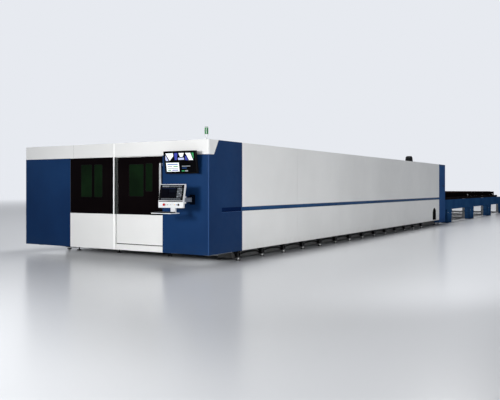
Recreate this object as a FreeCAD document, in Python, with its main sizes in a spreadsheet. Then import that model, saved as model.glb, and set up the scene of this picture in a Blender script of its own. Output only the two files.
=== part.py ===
"""Fiber laser cutting machine: a long enclosed cutting hall behind a blue and white cabin front,
with a gantry over a slatted pallet, and a two-level exchange table behind the rear portal.

The frame has +Z up and +Y towards the rear, and stands on the floor under the middle of the whole
line. Depths are counted from the cabin's front face, heights from the floor, and widths from the
machine's middle plane. Lengths are in millimetres.
"""
import FreeCAD, Part
import os
import re
import Sketcher

doc = FreeCAD.newDocument("LaserCuttingMachine")
sizes = doc.addObject("Spreadsheet::Sheet", "Sizes")
places = doc.addObject("Spreadsheet::Sheet", "Places")
home = {}

SIZES = {
    # enclosure
    "body_width": 5300, "floor_gap": 220, "panel_height": 2280, "cabin_depth": 1232,
    "hall_length": 15284, "portal_depth": 869, "gate_slot": 40, "cover_plate": 24,
    "wall": 60, "corner_round": 40, "seam": 4, "overrun": 5,
    "header_height": 294, "header_depth": 120, "header_return_top": 345, "header_return_foot": 179,
    "leaf_width": 1302, "right_pillar": 1150,
    "post_width": 60, "post_proud": 8, "door_width": 1284,
    "leaf_thickness": 25, "door_thickness": 40, "door_gap": 5, "sill_height": 118, "door_play": 3,
    "door_side_gap": 2, "door_head_gap": 6, "bay_edge": 6,
    "window_foot": 980, "window_inset": 6, "pane_thickness": 8, "pane_lip": 15, "pane_round": 30,
    "pane_play": 0.5, "stile_width": 40,
    "left_pane_foot": 1344, "left_pane_top": 2052, "left_wide_place": 339, "left_wide_pane": 331,
    "left_narrow_place": 739, "left_narrow_pane": 242,
    "door_wide_place": 358, "door_wide_pane": 400, "door_wide_foot": 1367, "door_wide_top": 2040,
    "door_narrow_place": 812, "door_narrow_pane": 182, "door_narrow_foot": 1472,
    "door_narrow_top": 2053,
    "handle_place": 38, "handle_width": 46, "handle_reach": 62, "handle_foot": 1140,
    "handle_length": 910, "handle_bar": 22, "handle_end": 60,
    "track_gap": 6, "track_reach": 36, "track_height": 40, "track_back": 7, "track_lip": 46,
    "hanger_width": 90, "hanger_inset": 150, "hanger_gap": 1, "slide_play": 0.3,
    "strip_gap": 2, "guide_lip": 5, "guide_rise": 30,
    "stripe_foot": 1055, "stripe_height": 88, "stripe_start": 460, "stripe_recess": 25,
    "module_count": 6, "roof_thickness": 40, "roof_drop": 20,
    # arched duct opening in the side wall
    "arch_from_portal": 700, "arch_width": 476, "arch_foot": 247, "arch_top": 730, "collar_wall": 12,
    "collar_gap": 1,
    # bed
    "bed_inset": 170, "beam_width": 360, "bed_start": 1100, "bed_end_gap": 116, "bed_foot": 60,
    "bed_top": 1000, "bay_count": 14, "bay_width": 760, "bay_height": 420, "bay_depth": 120,
    "bay_foot": 380,
    "cross_beam_foot": 90, "cross_beam_height": 160, "cross_beam_width": 160, "cross_beam_count": 8,
    "arm_width": 120, "arm_height": 40, "arm_inset": 200, "arm_start": 260,
    "foot_lead": 170, "foot_tail": 1935, "foot_count": 14, "foot_reach": 76, "foot_width": 120,
    "bracket_foot": 70, "bracket_height": 90, "bracket_plate": 16, "cheek_reach": 68,
    "pad_radius": 52, "pad_height": 18, "stem_radius": 15, "stem_top": 205, "nut_radius": 27,
    "nut_height": 24,
    "front_foot_inset": 33, "front_foot_middle": 760,
    "portal_foot_side": 250, "portal_foot_front": 200, "portal_foot_rear": 120,
    "guide_inset": 120, "guide_width": 35, "guide_height": 36, "rack_inset": 170, "rack_width": 30,
    "rack_height": 30, "rail_margin": 50,
    # chutes and trough under the pallet
    "trough_half": 700, "trough_height": 170, "sheet": 12, "chute_outer": 600, "trough_margin": 400,
    # pallets and their rails
    "level": 790, "lift_stroke": 300, "rail_shelf": 220, "pallet_length": 14000,
    "pallet_height": 210, "pallet_member": 120, "stringer_height": 110, "stringer_width": 60,
    "stringer_place": 900, "slat_top": 230, "slat_thickness": 8, "slat_pitch": 100,
    "pallet_start": 190, "ledge": 75, "ledge_play": 5, "ledge_thickness": 30, "rail_leg": 150,
    "rail_leg_wall": 15, "pallet_travel": 14790, "rail_lead": 339,
    "wheel_radius": 60, "wheel_width": 40, "wheel_gap": 10, "wheel_bevel": 6, "wheel_first": 600,
    "wheel_count": 3, "pin_radius": 14, "pin_over": 3, "hub_radius": 28, "hub_width": 6,
    # gantry, carriage and head
    "gantry_park": 1600, "gantry_depth": 380, "gantry_height": 380, "gantry_play": 345,
    "truck_length": 900, "truck_play": 30, "truck_foot": 60, "block_width": 22, "block_lift": 8,
    "block_skirt": 12, "block_play": 0.5, "truss_bays": 12, "truss_wall": 45, "truss_slant": 90,
    "gantry_rail": 25, "gantry_rail_foot": 70, "gantry_rail_top": 285, "carriage_half": 200,
    "carriage_gap": 30, "carriage_plate": 40, "carriage_foot": 35, "carriage_rise": 40,
    "shoe_half": 160, "shoe_gap": 6, "shoe_lip": 14, "z_half": 110, "z_depth": 120, "z_foot": 55,
    "z_height": 750, "slide_half": 80, "slide_thickness": 24, "slide_foot": 100, "slide_height": 520,
    "clamp_rise": 140, "clamp_height": 160, "clamp_cheek": 15, "head_reach": 90, "head_radius": 55,
    "nozzle_height": 1335, "tip_radius": 3, "tip_height": 14, "tip_flare": 11, "nozzle_top": 60,
    "nozzle_flare": 24, "lens_radius": 34, "lens_top": 110, "body_foot": 125, "body_top": 460,
    "neck_foot": 475, "neck_radius": 30, "head_height": 520,
    # rear portal and gate
    "portal_gap": 105, "opening_play": 230, "opening_foot": 640, "opening_height": 800,
    "gate_lap": 25, "gate_rest": 2, "gate_cover": 20,
    # exchange table
    "table_length": 14600, "rail_outer": 145, "rail_depth": 120, "rail_foot": 590,
    "rail_height": 410, "rail_sheet": 12,
    "leg_first": 908, "leg_last": 96, "leg_length": 810, "leg_width": 260, "leg_count": 4,
    "leg_step": 50, "leg_waist": 310, "leg_base": 20, "base_inset": 12.5,
    "table_beam_foot": 12, "table_beam_height": 70, "table_beam_width": 180,
    "column_width": 120, "column_play": 22, "column_length": 200, "column_top": 990,
    "rack_start": 6, "rack_web": 60, "rack_foot": 640, "rack_tie": 100, "rack_tie_width": 160,
    "rack_end": 150, "rack_pad_half": 60, "rack_pad_foot": 60, "rack_pad_top": 50,
    "end_beam": 50, "end_beam_height": 210,
    # console, monitor and signal tower
    "desk_inset": 588, "desk_width": 606, "desk_front": 450, "desk_foot": 1157, "desk_strip": 133,
    "desk_top": 1616, "desk_lean": 65, "desk_thickness": 45, "desk_bevel": 12, "desk_shoulder": 40,
    "bezel": 8, "bezel_margin": 10, "tray_foot": 1048, "tray_sheet": 14, "tray_reach": 670,
    "tray_back": 400, "tray_width": 479,
    "stem_place": 356, "stem_half": 55, "stem_depth": 45, "keyboard_width": 420, "keyboard_depth": 160,
    "keyboard_height": 18, "keyboard_inset": 30,
    "arm_shift": 200, "swing_pivot": 80, "desk_pivot": 290, "eye_radius": 30, "eye_foot": 1268,
    "eye_height": 84, "lug_height": 28, "lug_half": 32, "arm_bar": 44, "plate_half": 60,
    "plate_sheet": 14, "knuckle_bore": 10,
    "stop_place": 150, "stop_height": 61, "stop_radius": 24, "stop_neck": 13, "stop_travel": 6,
    "stop_skirt": 9, "stop_crown": 14, "button_place": 300, "button_radius": 11, "button_travel": 3,
    "button_height": 9, "button_bevel": 2, "knob_place": 495, "knob_radius": 22, "knob_stem": 9,
    "knob_skirt": 8, "knob_waist": 16, "knob_nose": 11,
    "control_reach": 20, "control_round": 8, "control_play": 0.3, "control_stem": 20,
    "monitor_width": 790, "monitor_height": 450, "monitor_thickness": 55, "monitor_mid": 2063,
    "monitor_pivot": 75, "monitor_tilt": 10, "monitor_gap": 21, "monitor_knuckle": 26,
    "monitor_ear": 15, "monitor_ear_half": 22, "monitor_ear_over": 12, "monitor_knuckle_half": 44,
    "screen_margin": 14, "screen_sheet": 3,
    "tower_inset": 98, "tower_depth": 60, "tower_base": 30, "tower_base_height": 12,
    "tower_pole": 13, "tower_pole_height": 95, "tower_lens": 38, "tower_lens_wall": 2,
    "tower_lens_height": 140, "tower_cap": 12, "tower_cap_round": 27, "tower_collar": 14,
    # roof vent
    "vent_inset": 300, "vent_from_portal": 3026, "vent_base": 158, "vent_neck": 140,
    "vent_shoulder": 190, "vent_crown": 124, "vent_top": 90, "vent_height": 240, "vent_flange": 14,
    # cabinets inside the cabin
    "cabinet_gap": 20, "cabinet_depth": 760, "cabinet_height": 1700, "left_cabinet": 1250,
    "right_cabinet": 950, "cabinet_bevel": 12,
}

PLACES = {
    "half_width": "body_width / 2",
    "panel_top": "floor_gap + panel_height",
    "header_foot": "panel_top - header_height",
    "hall_end": "cabin_depth + hall_length",
    "ring_end": "hall_end + portal_depth",
    "gate_back": "ring_end + gate_slot",
    "portal_end": "gate_back + cover_plate",
    "table_end": "portal_end + table_length",
    "front_face": "-(table_end - tray_reach) / 2",
    "inner_wall": "half_width - wall",
    "stripe_top": "stripe_foot + stripe_height",
    "post_left": "half_width - right_pillar - door_width - post_width - 2 * door_side_gap",
    "post_right": "post_left + post_width",
    "leaf_left": "post_left - leaf_width",
    "pillar_right": "half_width - right_pillar",
    "door_left": "post_right + door_side_gap",
    "door_right": "door_left + door_width",
    "door_front": "leaf_thickness + door_gap",
    "door_back": "door_front + door_thickness",
    "door_foot": "floor_gap + sill_height + door_play",
    "door_top": "header_foot - door_head_gap",
    "track_front": "door_back + track_gap",
    "track_end": "track_front + track_reach",
    "track_seat": "header_foot - track_lip",
    "bed_outer": "half_width - bed_inset",
    "bed_inner": "bed_outer - beam_width",
    "bed_end": "hall_end - bed_end_gap",
    "bed_length": "bed_end - bed_start",
    "foot_start": "bed_start + foot_lead",
    "foot_pitch": "(bed_length - foot_lead - foot_tail) / (foot_count - 1)",
    "pallet_half": "bed_inner - rail_shelf",
    "guide_place": "bed_inner + guide_inset",
    "rack_place": "bed_inner + rack_inset",
    "upper_level": "level + lift_stroke",
    "trough_foot": "cross_beam_foot + cross_beam_height",
    "trough_top": "trough_foot + trough_height",
    "gantry_place": "bed_start + gantry_park",
    "gantry_foot": "bed_top + gantry_play",
    "gantry_top": "gantry_foot + gantry_height",
    "gantry_front": "gantry_place - gantry_depth / 2",
    "gantry_back": "gantry_place + gantry_depth / 2",
    "plate_front": "gantry_back + carriage_gap",
    "plate_back": "plate_front + carriage_plate",
    "z_back": "plate_back + z_depth",
    "slide_back": "z_back + 2 * slide_play + slide_thickness",
    "head_place": "slide_back + head_reach",
    "opening_half": "pallet_half + opening_play",
    "opening_top": "opening_foot + opening_height",
    "gate_foot": "opening_top + gate_rest",
    "leg_pitch": "(table_length - leg_first - leg_length - leg_last) / (leg_count - 1)",
    "rail_face": "half_width - rail_outer",
    "rail_back": "rail_face - rail_depth",
    "leg_inner": "rail_face - leg_width",
    "web_inner": "pallet_half + ledge_play + ledge",
    "web_outer": "web_inner + rack_web",
    "column_face": "web_outer + column_play",
    "rack_front": "portal_end + rack_start",
    "rack_back": "table_end - rack_end",
    "pallet_front": "portal_end + pallet_start",
    "pallet_back": "pallet_front + pallet_length",
    "wheel_pitch": "(pallet_length - 2 * wheel_first) / (wheel_count - 1)",
    "inner_rail_start": "pallet_front - pallet_travel - rail_lead",
    "desk_place": "half_width - desk_inset",
    "arm_place": "desk_place + arm_shift",
    "desk_left": "desk_place - desk_width / 2",
    "desk_right": "desk_place + desk_width / 2",
    "desk_knee": "desk_foot + desk_strip",
    "desk_rear": "-desk_front + desk_thickness",
    "tray_top": "tray_foot + tray_sheet",
    "stop_level": "desk_foot + stop_height",
    "eye_top": "eye_foot + eye_height",
    "tower_place": "half_width - tower_inset",
    "roof_top": "panel_top - roof_drop",
    "roof_foot": "roof_top - roof_thickness",
    "vent_side": "half_width - vent_inset",
    "vent_place": "hall_end - vent_from_portal",
    "arch_place": "hall_end - arch_from_portal",
    "arch_radius": "arch_width / 2",
    "arch_spring": "arch_top - arch_radius",
}


def words(text):
    """Point every name in an expression at the sheet that holds it."""
    return re.sub(r"[a-z_]\w*", lambda found: home.get(found.group(), "") + found.group(), text)


def value(text):
    """Work out an expression with the sheets' present sizes."""
    return float(sizes.evalExpression(words(text)))


def bind(thing, rules):
    """Tie properties of an object to expressions."""
    for name, rule in rules.items():
        thing.setExpression(name, words(rule))
    return thing


def fill_sheets():
    """Write the driving sizes as numbers and the places worked out from them as formulas."""
    for row, (name, number) in enumerate(SIZES.items(), 1):
        sizes.set(f"A{row}", name)
        sizes.set(f"B{row}", str(number))
        sizes.setAlias(f"B{row}", name)
        home[name] = "Sizes."
    for row, (name, formula) in enumerate(PLACES.items(), 1):
        places.set(f"A{row}", name)
        places.set(f"B{row}", "=" + words(formula))
        places.setAlias(f"B{row}", name)
        home[name] = ""
    doc.recompute()
    for name in PLACES:
        home[name] = "Places."


def block(name, x, y, z):
    """A rectangular block between two widths, two depths behind the front face and two heights."""
    box = doc.addObject("Part::Box", name)
    rules = {"Placement.Base.x": x[0], "Placement.Base.y": f"front_face + {y[0]}",
             "Placement.Base.z": z[0]}
    for side, (low, high) in zip(("Length", "Width", "Height"), (x, y, z)):
        rules[side] = f"{high} - ({low})"
    return bind(box, rules)


def pair(name, x, y, z):
    """The same block on the right and mirrored on the left of the middle plane."""
    mirrored = (f"-({x[1]})", f"-({x[0]})")
    return [block(name + "_right", x, y, z), block(name + "_left", mirrored, y, z)]


def rod(name, centre, radius, length, turn=None):
    """A round bar along Z, or along X or Y when it is turned over."""
    bar = doc.addObject("Part::Cylinder", name)
    if turn == "X":
        bar.Placement.Rotation = FreeCAD.Rotation(FreeCAD.Vector(0, 1, 0), 90)
    if turn == "Y":
        bar.Placement.Rotation = FreeCAD.Rotation(FreeCAD.Vector(1, 0, 0), -90)
    return bind(bar, {"Radius": radius, "Height": length, "Placement.Base.x": centre[0],
                      "Placement.Base.y": f"front_face + {centre[1]}", "Placement.Base.z": centre[2]})


def hexagon(name, centre, radius, height):
    """An upright six-sided nut, its radius taken to the corners."""
    nut = doc.addObject("Part::Prism", name)
    nut.Polygon = 6
    return bind(nut, {"Circumradius": radius, "Height": height, "Placement.Base.x": centre[0],
                      "Placement.Base.y": f"front_face + {centre[1]}", "Placement.Base.z": centre[2]})


def role(body, name):
    """One of a body's own origin planes or axes."""
    return next(item for item in body.Origin.OriginFeatures if item.Role == name)


def ring(body, name, plane, points):
    """A closed sketch of straight edges, every corner tied to its two expressions."""
    sketch = body.newObject("Sketcher::SketchObject", name)
    sketch.AttachmentSupport = [(role(body, plane + "_Plane"), "")]
    sketch.MapMode = "FlatFace"
    spots = [FreeCAD.Vector(value(u), value(v), 0) for u, v in points]
    for start, end in zip(spots, spots[1:] + spots[:1]):
        sketch.addGeometry(Part.LineSegment(start, end), False)
    for k, (u, v) in enumerate(points):
        sketch.addConstraint(Sketcher.Constraint("Coincident", k, 2, (k + 1) % len(points), 1))
    for k, (u, v) in enumerate(points):
        for kind, mark, rule, spot in (("DistanceX", "u", u, spots[k].x),
                                       ("DistanceY", "v", v, spots[k].y)):
            place = sketch.addConstraint(Sketcher.Constraint(kind, -1, 1, k, 1, spot))
            sketch.renameConstraint(place, f"{mark}{k}")
            sketch.setExpression(f"Constraints.{mark}{k}", words(rule))
    return sketch


def prism(name, plane, points, low, high):
    """A straight profile padded between two places along the normal of its plane."""
    body = bind(doc.addObject("PartDesign::Body", name), {"Placement.Base.y": "front_face"})
    sketch = ring(body, name + "_outline", plane, points)
    start = f"-({high})" if plane == "XZ" else low
    bind(sketch, {"AttachmentOffset.Base.z": start})
    pad = body.newObject("PartDesign::Pad", name + "_pad")
    pad.Profile = sketch
    bind(pad, {"Length": f"{high} - ({low})"})
    body.Tip = pad
    return body


def pair_prism(name, points, low, high):
    """A profile across the machine and its mirror image, run along the machine."""
    flip = [(f"-({u})", v) for u, v in points]
    return [prism(name + "_right", "XZ", points, low, high), prism(name + "_left", "XZ", flip, low, high)]


def turned(name, points, centre, axis="Z"):
    """A profile of stations and radii turned about an upright, cross or lengthwise axis."""
    body = bind(doc.addObject("PartDesign::Body", name),
                {"Placement.Base.x": centre[0], "Placement.Base.y": f"front_face + {centre[1]}",
                 "Placement.Base.z": centre[2]})
    plane = "YZ" if axis == "Y" else "XZ"
    if axis == "Z":
        points = [(radius, station) for station, radius in points]
    sketch = ring(body, name + "_outline", plane, points)
    spin = body.newObject("PartDesign::Revolution", name + "_turn")
    spin.Profile = sketch
    spin.ReferenceAxis = (sketch, ["V_Axis" if axis == "Z" else "H_Axis"])
    spin.Angle = 360
    body.Tip = spin
    return body


def group(name, parts):
    """Separate solids of one kind that share a name."""
    whole = doc.addObject("Part::Compound", name)
    whole.Links = parts
    return whole


def fused(name, parts):
    """Pieces welded into one solid."""
    whole = doc.addObject("Part::MultiFuse", name)
    whole.Shapes = parts
    return whole


def cut(name, base, tools):
    """A solid with one or more tools taken out of it."""
    whole = doc.addObject("Part::Cut", name)
    whole.Base = base
    whole.Tool = tools[0] if len(tools) == 1 else group(name + "_tools", tools)
    return whole


def upright_edges(shape, x, y):
    """Numbers of the upright edges of a shape that stand at one place in plan."""
    near = []
    for number, edge in enumerate(shape.Edges, 1):
        middle = edge.CenterOfMass
        upright = abs(edge.tangentAt(edge.FirstParameter).z) > 0.99
        if upright and abs(middle.x - x) < 0.5 and abs(middle.y - y) < 0.5:
            near.append(number)
    return near


def rounded_front_corners(name, base, corners, radius):
    """Round the upright outer edges at the given corners of the front face."""
    doc.recompute()
    whole = doc.addObject("Part::Fillet", name)
    whole.Base = base
    edges = []
    for corner in corners:
        edges += upright_edges(base.Shape, value(corner), value("front_face"))
    whole.Edges = [(number, value(radius), value(radius)) for number in edges]
    return whole


def pane_shape(name, left, width, foot, top, front, back, inset):
    """A window pane or its opening: an upright plate with rounded corners."""
    body = prism(name, "XZ", [
        (f"{left} + {inset}", f"{foot} + {inset}"), (f"{left} + {width} - {inset}", f"{foot} + {inset}"),
        (f"{left} + {width} - {inset}", f"{top} - {inset}"), (f"{left} + {inset}", f"{top} - {inset}"),
    ], front, back)
    doc.recompute()
    pad = body.Tip
    rounded = body.newObject("PartDesign::Fillet", name + "_round")
    along = [f"Edge{k}" for k, edge in enumerate(pad.Shape.Edges, 1)
             if abs(edge.tangentAt(edge.FirstParameter).y) > 0.99]
    rounded.Base = (pad, along)
    bind(rounded, {"Radius": "pane_round"})
    body.Tip = rounded
    return body


def windows(name, rows, front, back):
    """The green panes of one leaf, the holes for them in the dark glazing, and the leaf's openings."""
    panes, holes, openings = [], [], []
    for mark, left, width, foot, top in rows:
        spot = (left, width, foot, top)
        panes.append(pane_shape(f"{name}_{mark}_pane", *spot, front, f"{front} + pane_thickness",
                                "pane_play"))
        holes.append(pane_shape(f"{name}_{mark}_hole", *spot, f"{front} - overrun",
                                f"{front} + pane_thickness", "0"))
        openings.append(pane_shape(f"{name}_{mark}_opening", *spot, f"{front} - overrun",
                                   f"{back} + overrun", "pane_lip"))
    return panes, holes, openings


def cabin_shells():
    """Blue folded shells at the cabin's two front corners, each with the side channel pressed in."""
    made = []
    for side, sign, edge in (("right", "", "pillar_right"), ("left", "-", "leaf_left")):
        out, inner = f"{sign}half_width", f"{sign}inner_wall"
        fold = prism(f"{side}_fold", "XY", [
            (edge, "0"), (out, "0"), (out, "cabin_depth"), (inner, "cabin_depth"), (inner, "wall"),
            (edge, "wall"),
        ], "floor_gap", "header_foot")
        span = ("inner_wall", "half_width") if side == "right" else ("-half_width", "-inner_wall")
        upper = prism(f"{side}_shoulder", "YZ", [
            ("header_return_foot", "header_foot"), ("cabin_depth", "header_foot"),
            ("cabin_depth", "panel_top"), ("header_return_top", "panel_top"),
        ], *span)
        whole = fused(f"{side}_shell_blank", [fold, upper])
        soft = rounded_front_corners(f"{side}_shell_round", whole, [out], "corner_round")
        reach = ("half_width - stripe_recess", "half_width + overrun")
        if side == "left":
            reach = ("-half_width - overrun", "-half_width + stripe_recess")
        channel = block(f"{side}_channel", reach, ("stripe_start", "cabin_depth + overrun"),
                        ("stripe_foot", "stripe_top"))
        made.append(cut(f"{side}_cabin_shell", soft, [channel]))
    return made


def header():
    """White head box across the front, folded round both corners to slanted ends."""
    bar = block("header_bar", ("-inner_wall", "inner_wall"), ("0", "header_depth"),
                ("header_foot", "panel_top"))
    ends = []
    for side, low, high in (("right", "inner_wall", "half_width"),
                            ("left", "-half_width", "-inner_wall")):
        ends.append(prism(f"header_{side}_return", "YZ", [
            ("0", "header_foot"), ("header_return_foot", "header_foot"),
            ("header_return_top", "panel_top"), ("0", "panel_top"),
        ], low, high))
    blank = fused("header_blank", [bar] + ends)
    return rounded_front_corners("header", blank, ["half_width", "-half_width"], "corner_round")


def fixed_leaf():
    """White fixed leaf left of the post, its dark glazing and two green laser windows."""
    plate = block("leaf_plate", ("leaf_left", "post_left"), ("0", "leaf_thickness"),
                  ("floor_gap", "header_foot"))
    bay = block("leaf_bay", ("leaf_left + window_inset", "post_left - bay_edge"),
                ("-overrun", "pane_thickness"), ("window_foot", "header_foot - door_play"))
    rows = [("wide", "leaf_left + left_wide_place", "left_wide_pane", "left_pane_foot", "left_pane_top"),
            ("narrow", "leaf_left + left_narrow_place", "left_narrow_pane", "left_pane_foot",
             "left_pane_top")]
    panes, holes, openings = windows("leaf", rows, "0", "leaf_thickness")
    frame = cut("fixed_leaf", plate, [bay] + openings)
    glazing = block("leaf_glazing",
                    ("leaf_left + window_inset + pane_play", "post_left - bay_edge - pane_play"),
                    ("0", "pane_thickness"),
                    ("window_foot + pane_play", "header_foot - door_play - pane_play"))
    return [frame, cut("fixed_leaf_glazing", glazing, holes), group("fixed_leaf_windows", panes)]


def sliding_door():
    """White door leaf that hangs on the track, with its glazing, green windows and bar handle."""
    plate = block("door_plate", ("door_left", "door_right"), ("door_front", "door_back"),
                  ("door_foot", "door_top"))
    bay = block("door_bay", ("door_left + stile_width", "door_right - bay_edge"),
                ("door_front - overrun", "door_front + pane_thickness"),
                ("window_foot", "door_top - bay_edge"))
    rows = [("wide", "door_left + door_wide_place", "door_wide_pane", "door_wide_foot", "door_wide_top"),
            ("narrow", "door_left + door_narrow_place", "door_narrow_pane", "door_narrow_foot",
             "door_narrow_top")]
    panes, holes, openings = windows("door", rows, "door_front", "door_back")
    hangers = []
    for side, left in (("left", "door_left + hanger_inset"),
                       ("right", "door_right - hanger_inset - hanger_width")):
        hangers.append(block(f"{side}_hanger", (left, f"{left} + hanger_width"),
                             ("door_back", "track_end - track_back - hanger_gap"),
                             ("track_seat + slide_play", "door_top")))
    leaf = cut("door_leaf", plate, [bay] + openings)
    glazing = block("door_dark",
                    ("door_left + stile_width + pane_play", "door_right - bay_edge - pane_play"),
                    ("door_front", "door_front + pane_thickness"),
                    ("window_foot + pane_play", "door_top - bay_edge - pane_play"))
    bar_left = "door_right - handle_place - handle_width / 2"
    grip = block("grip_bar", (bar_left, f"{bar_left} + handle_width"),
                 ("door_front - handle_reach", "door_front - handle_reach + handle_bar"),
                 ("handle_foot", "handle_foot + handle_length"))
    ends = []
    for mark, foot in (("low", "handle_foot"), ("high", "handle_foot + handle_length - handle_end")):
        ends.append(block(f"grip_{mark}_end", (bar_left, f"{bar_left} + handle_width"),
                          ("door_front - handle_reach", "door_front"), (foot, f"{foot} + handle_end")))
    return [fused("door_panel", [leaf] + hangers), cut("door_glazing", glazing, holes),
            group("door_windows", panes), fused("door_handle", [grip] + ends)]


def door_tracks():
    """Top track under the header and the sill strip with the floor guide behind it."""
    track = prism("top_track", "YZ", [
        ("track_front", "track_seat - track_height"), ("track_end", "track_seat - track_height"),
        ("track_end", "header_foot"), ("track_end - track_back", "header_foot"),
        ("track_end - track_back", "track_seat"), ("track_front", "track_seat"),
    ], "leaf_left", "pillar_right")
    strip = block("kick_strip", ("door_left", "pillar_right"), ("0", "door_front - strip_gap"),
                  ("floor_gap", "floor_gap + sill_height"))
    guide = block("floor_guide", ("leaf_left", "pillar_right"),
                  ("door_front - strip_gap", "door_back + guide_lip"),
                  ("floor_gap + guide_rise", "door_foot - slide_play"))
    return group("door_tracks", [track, strip, guide])


def centre_post():
    """Bright upright strip between the fixed leaf and the sliding door."""
    return block("centre_post", ("post_left", "post_right"), ("-post_proud", "leaf_thickness"),
                 ("floor_gap", "header_foot"))


def side_walls():
    """White wall modules above and below the blue channel, and the arched duct opening."""
    upper, lower = [], []
    step = "(hall_length / module_count)"
    for k in range(int(value("module_count"))):
        start = f"cabin_depth + {k} * {step}"
        gap = "0" if k + 1 == int(value("module_count")) else "seam"
        reach = (start, f"{start} + {step} - {gap}")
        upper += pair(f"upper_{k}", ("inner_wall", "half_width"), reach, ("stripe_top", "panel_top"))
        lower += pair(f"lower_{k}", ("inner_wall", "half_width"), reach, ("floor_gap", "stripe_foot"))
    arch = prism("arch_hole", "YZ", [
        ("arch_place - arch_radius", "arch_foot"), ("arch_place + arch_radius", "arch_foot"),
        ("arch_place + arch_radius", "arch_spring"), ("arch_place - arch_radius", "arch_spring"),
    ], "inner_wall - overrun", "half_width + overrun")
    crown = rod("arch_crown", ("inner_wall - overrun", "arch_place", "arch_spring"), "arch_radius",
                "wall + 2 * overrun", "X")
    tail = next(part for part in lower if part.Name == f"lower_{int(value('module_count')) - 1}_right")
    lower.remove(tail)
    lower.append(cut("lower_tail", tail, [fused("arch_tool", [arch, crown])]))
    strips = pair("stripe", ("inner_wall", "half_width - stripe_recess"), ("cabin_depth", "hall_end"),
                  ("stripe_foot", "stripe_top"))
    return [group("upper_side_panels", upper), group("lower_side_panels", lower),
            group("side_stripes", strips)]


def duct_collar():
    """Sheet collar of the extraction duct, from the bed's flank to the arched opening."""
    reach = ("bed_outer", "inner_wall - collar_gap")
    shells = []
    for mark, grow in (("outer", "collar_wall"), ("inner", "0")):
        low, high = reach if mark == "outer" else ("bed_outer - overrun", "inner_wall + overrun")
        legs = prism(f"collar_{mark}_legs", "YZ", [
            (f"arch_place - arch_radius - {grow}", f"arch_foot - {grow}"),
            (f"arch_place + arch_radius + {grow}", f"arch_foot - {grow}"),
            (f"arch_place + arch_radius + {grow}", "arch_spring"),
            (f"arch_place - arch_radius - {grow}", "arch_spring"),
        ], low, high)
        crown = rod(f"collar_{mark}_crown", (low, "arch_place", "arch_spring"), f"arch_radius + {grow}",
                    f"{high} - ({low})", "X")
        shells.append(fused(f"collar_{mark}", [legs, crown]))
    return cut("duct_collar", shells[0], [shells[1]])


def roof():
    """Roof sheets between the side walls, and the moulded ventilator near the right edge."""
    sheets = []
    count = int(value("module_count"))
    for k in range(count):
        step = "((hall_end - header_depth) / module_count)"
        start = f"header_depth + {k} * {step}"
        gap = "0" if k + 1 == count else "seam"
        sheets.append(block(f"roof_{k}", ("-inner_wall", "inner_wall"),
                            (start, f"{start} + {step} - {gap}"), ("roof_foot", "roof_top")))
    vent = turned("roof_vent", [
        ("0", "0"), ("0", "vent_base"), ("vent_flange", "vent_base"), ("vent_flange", "vent_neck"),
        ("vent_shoulder", "vent_crown"), ("vent_height", "vent_top"), ("vent_height", "0"),
    ], ("vent_side", "vent_place", "roof_top"))
    return [group("roof_panels", sheets), vent]


def bed():
    """Welded side beams with weight-saving bays, cross beams, and the arms under the cabin."""
    beams = []
    for side, low, high in (("right", "bed_inner", "bed_outer"), ("left", "-bed_outer", "-bed_inner")):
        beam = block(f"{side}_beam", (low, high), ("bed_start", "bed_end"), ("bed_foot", "bed_top"))
        bays = []
        for k in range(int(value("bay_count"))):
            middle = f"bed_start + ({k} + 0.5) * bed_length / bay_count"
            deep = ("bed_outer - bay_depth", "bed_outer + overrun")
            if side == "left":
                deep = ("-bed_outer - overrun", "-bed_outer + bay_depth")
            bays.append(block(f"{side}_bay_{k}", deep,
                              (f"{middle} - bay_width / 2", f"{middle} + bay_width / 2"),
                              ("bay_foot", "bay_foot + bay_height")))
        beams.append(cut(f"{side}_side_beam", beam, bays))
    frame = []
    count = int(value("cross_beam_count"))
    for k in range(count):
        start = f"bed_start + {k} * (bed_length - cross_beam_width) / (cross_beam_count - 1)"
        frame.append(block(f"cross_{k}", ("-bed_inner", "bed_inner"),
                           (start, f"{start} + cross_beam_width"),
                           ("cross_beam_foot", "cross_beam_foot + cross_beam_height")))
    for mark, outer in (("outer", "bed_outer"), ("inner", "pillar_right + arm_inset")):
        frame += pair(f"cabin_arm_{mark}", (f"{outer} - arm_width", outer), ("arm_start", "bed_start"),
                      ("floor_gap - arm_height", "floor_gap"))
    return [group("bed_side_beams", beams), group("bed_cross_frame", frame)]


def foot(name, x, y, top):
    """A levelling foot: round pad and threaded stem."""
    return turned(name, [("0", "0"), ("0", "pad_radius"), ("pad_height", "pad_radius"),
                         ("pad_height", "stem_radius"), (top, "stem_radius"), (top, "0")], (x, y, "0"))


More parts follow.
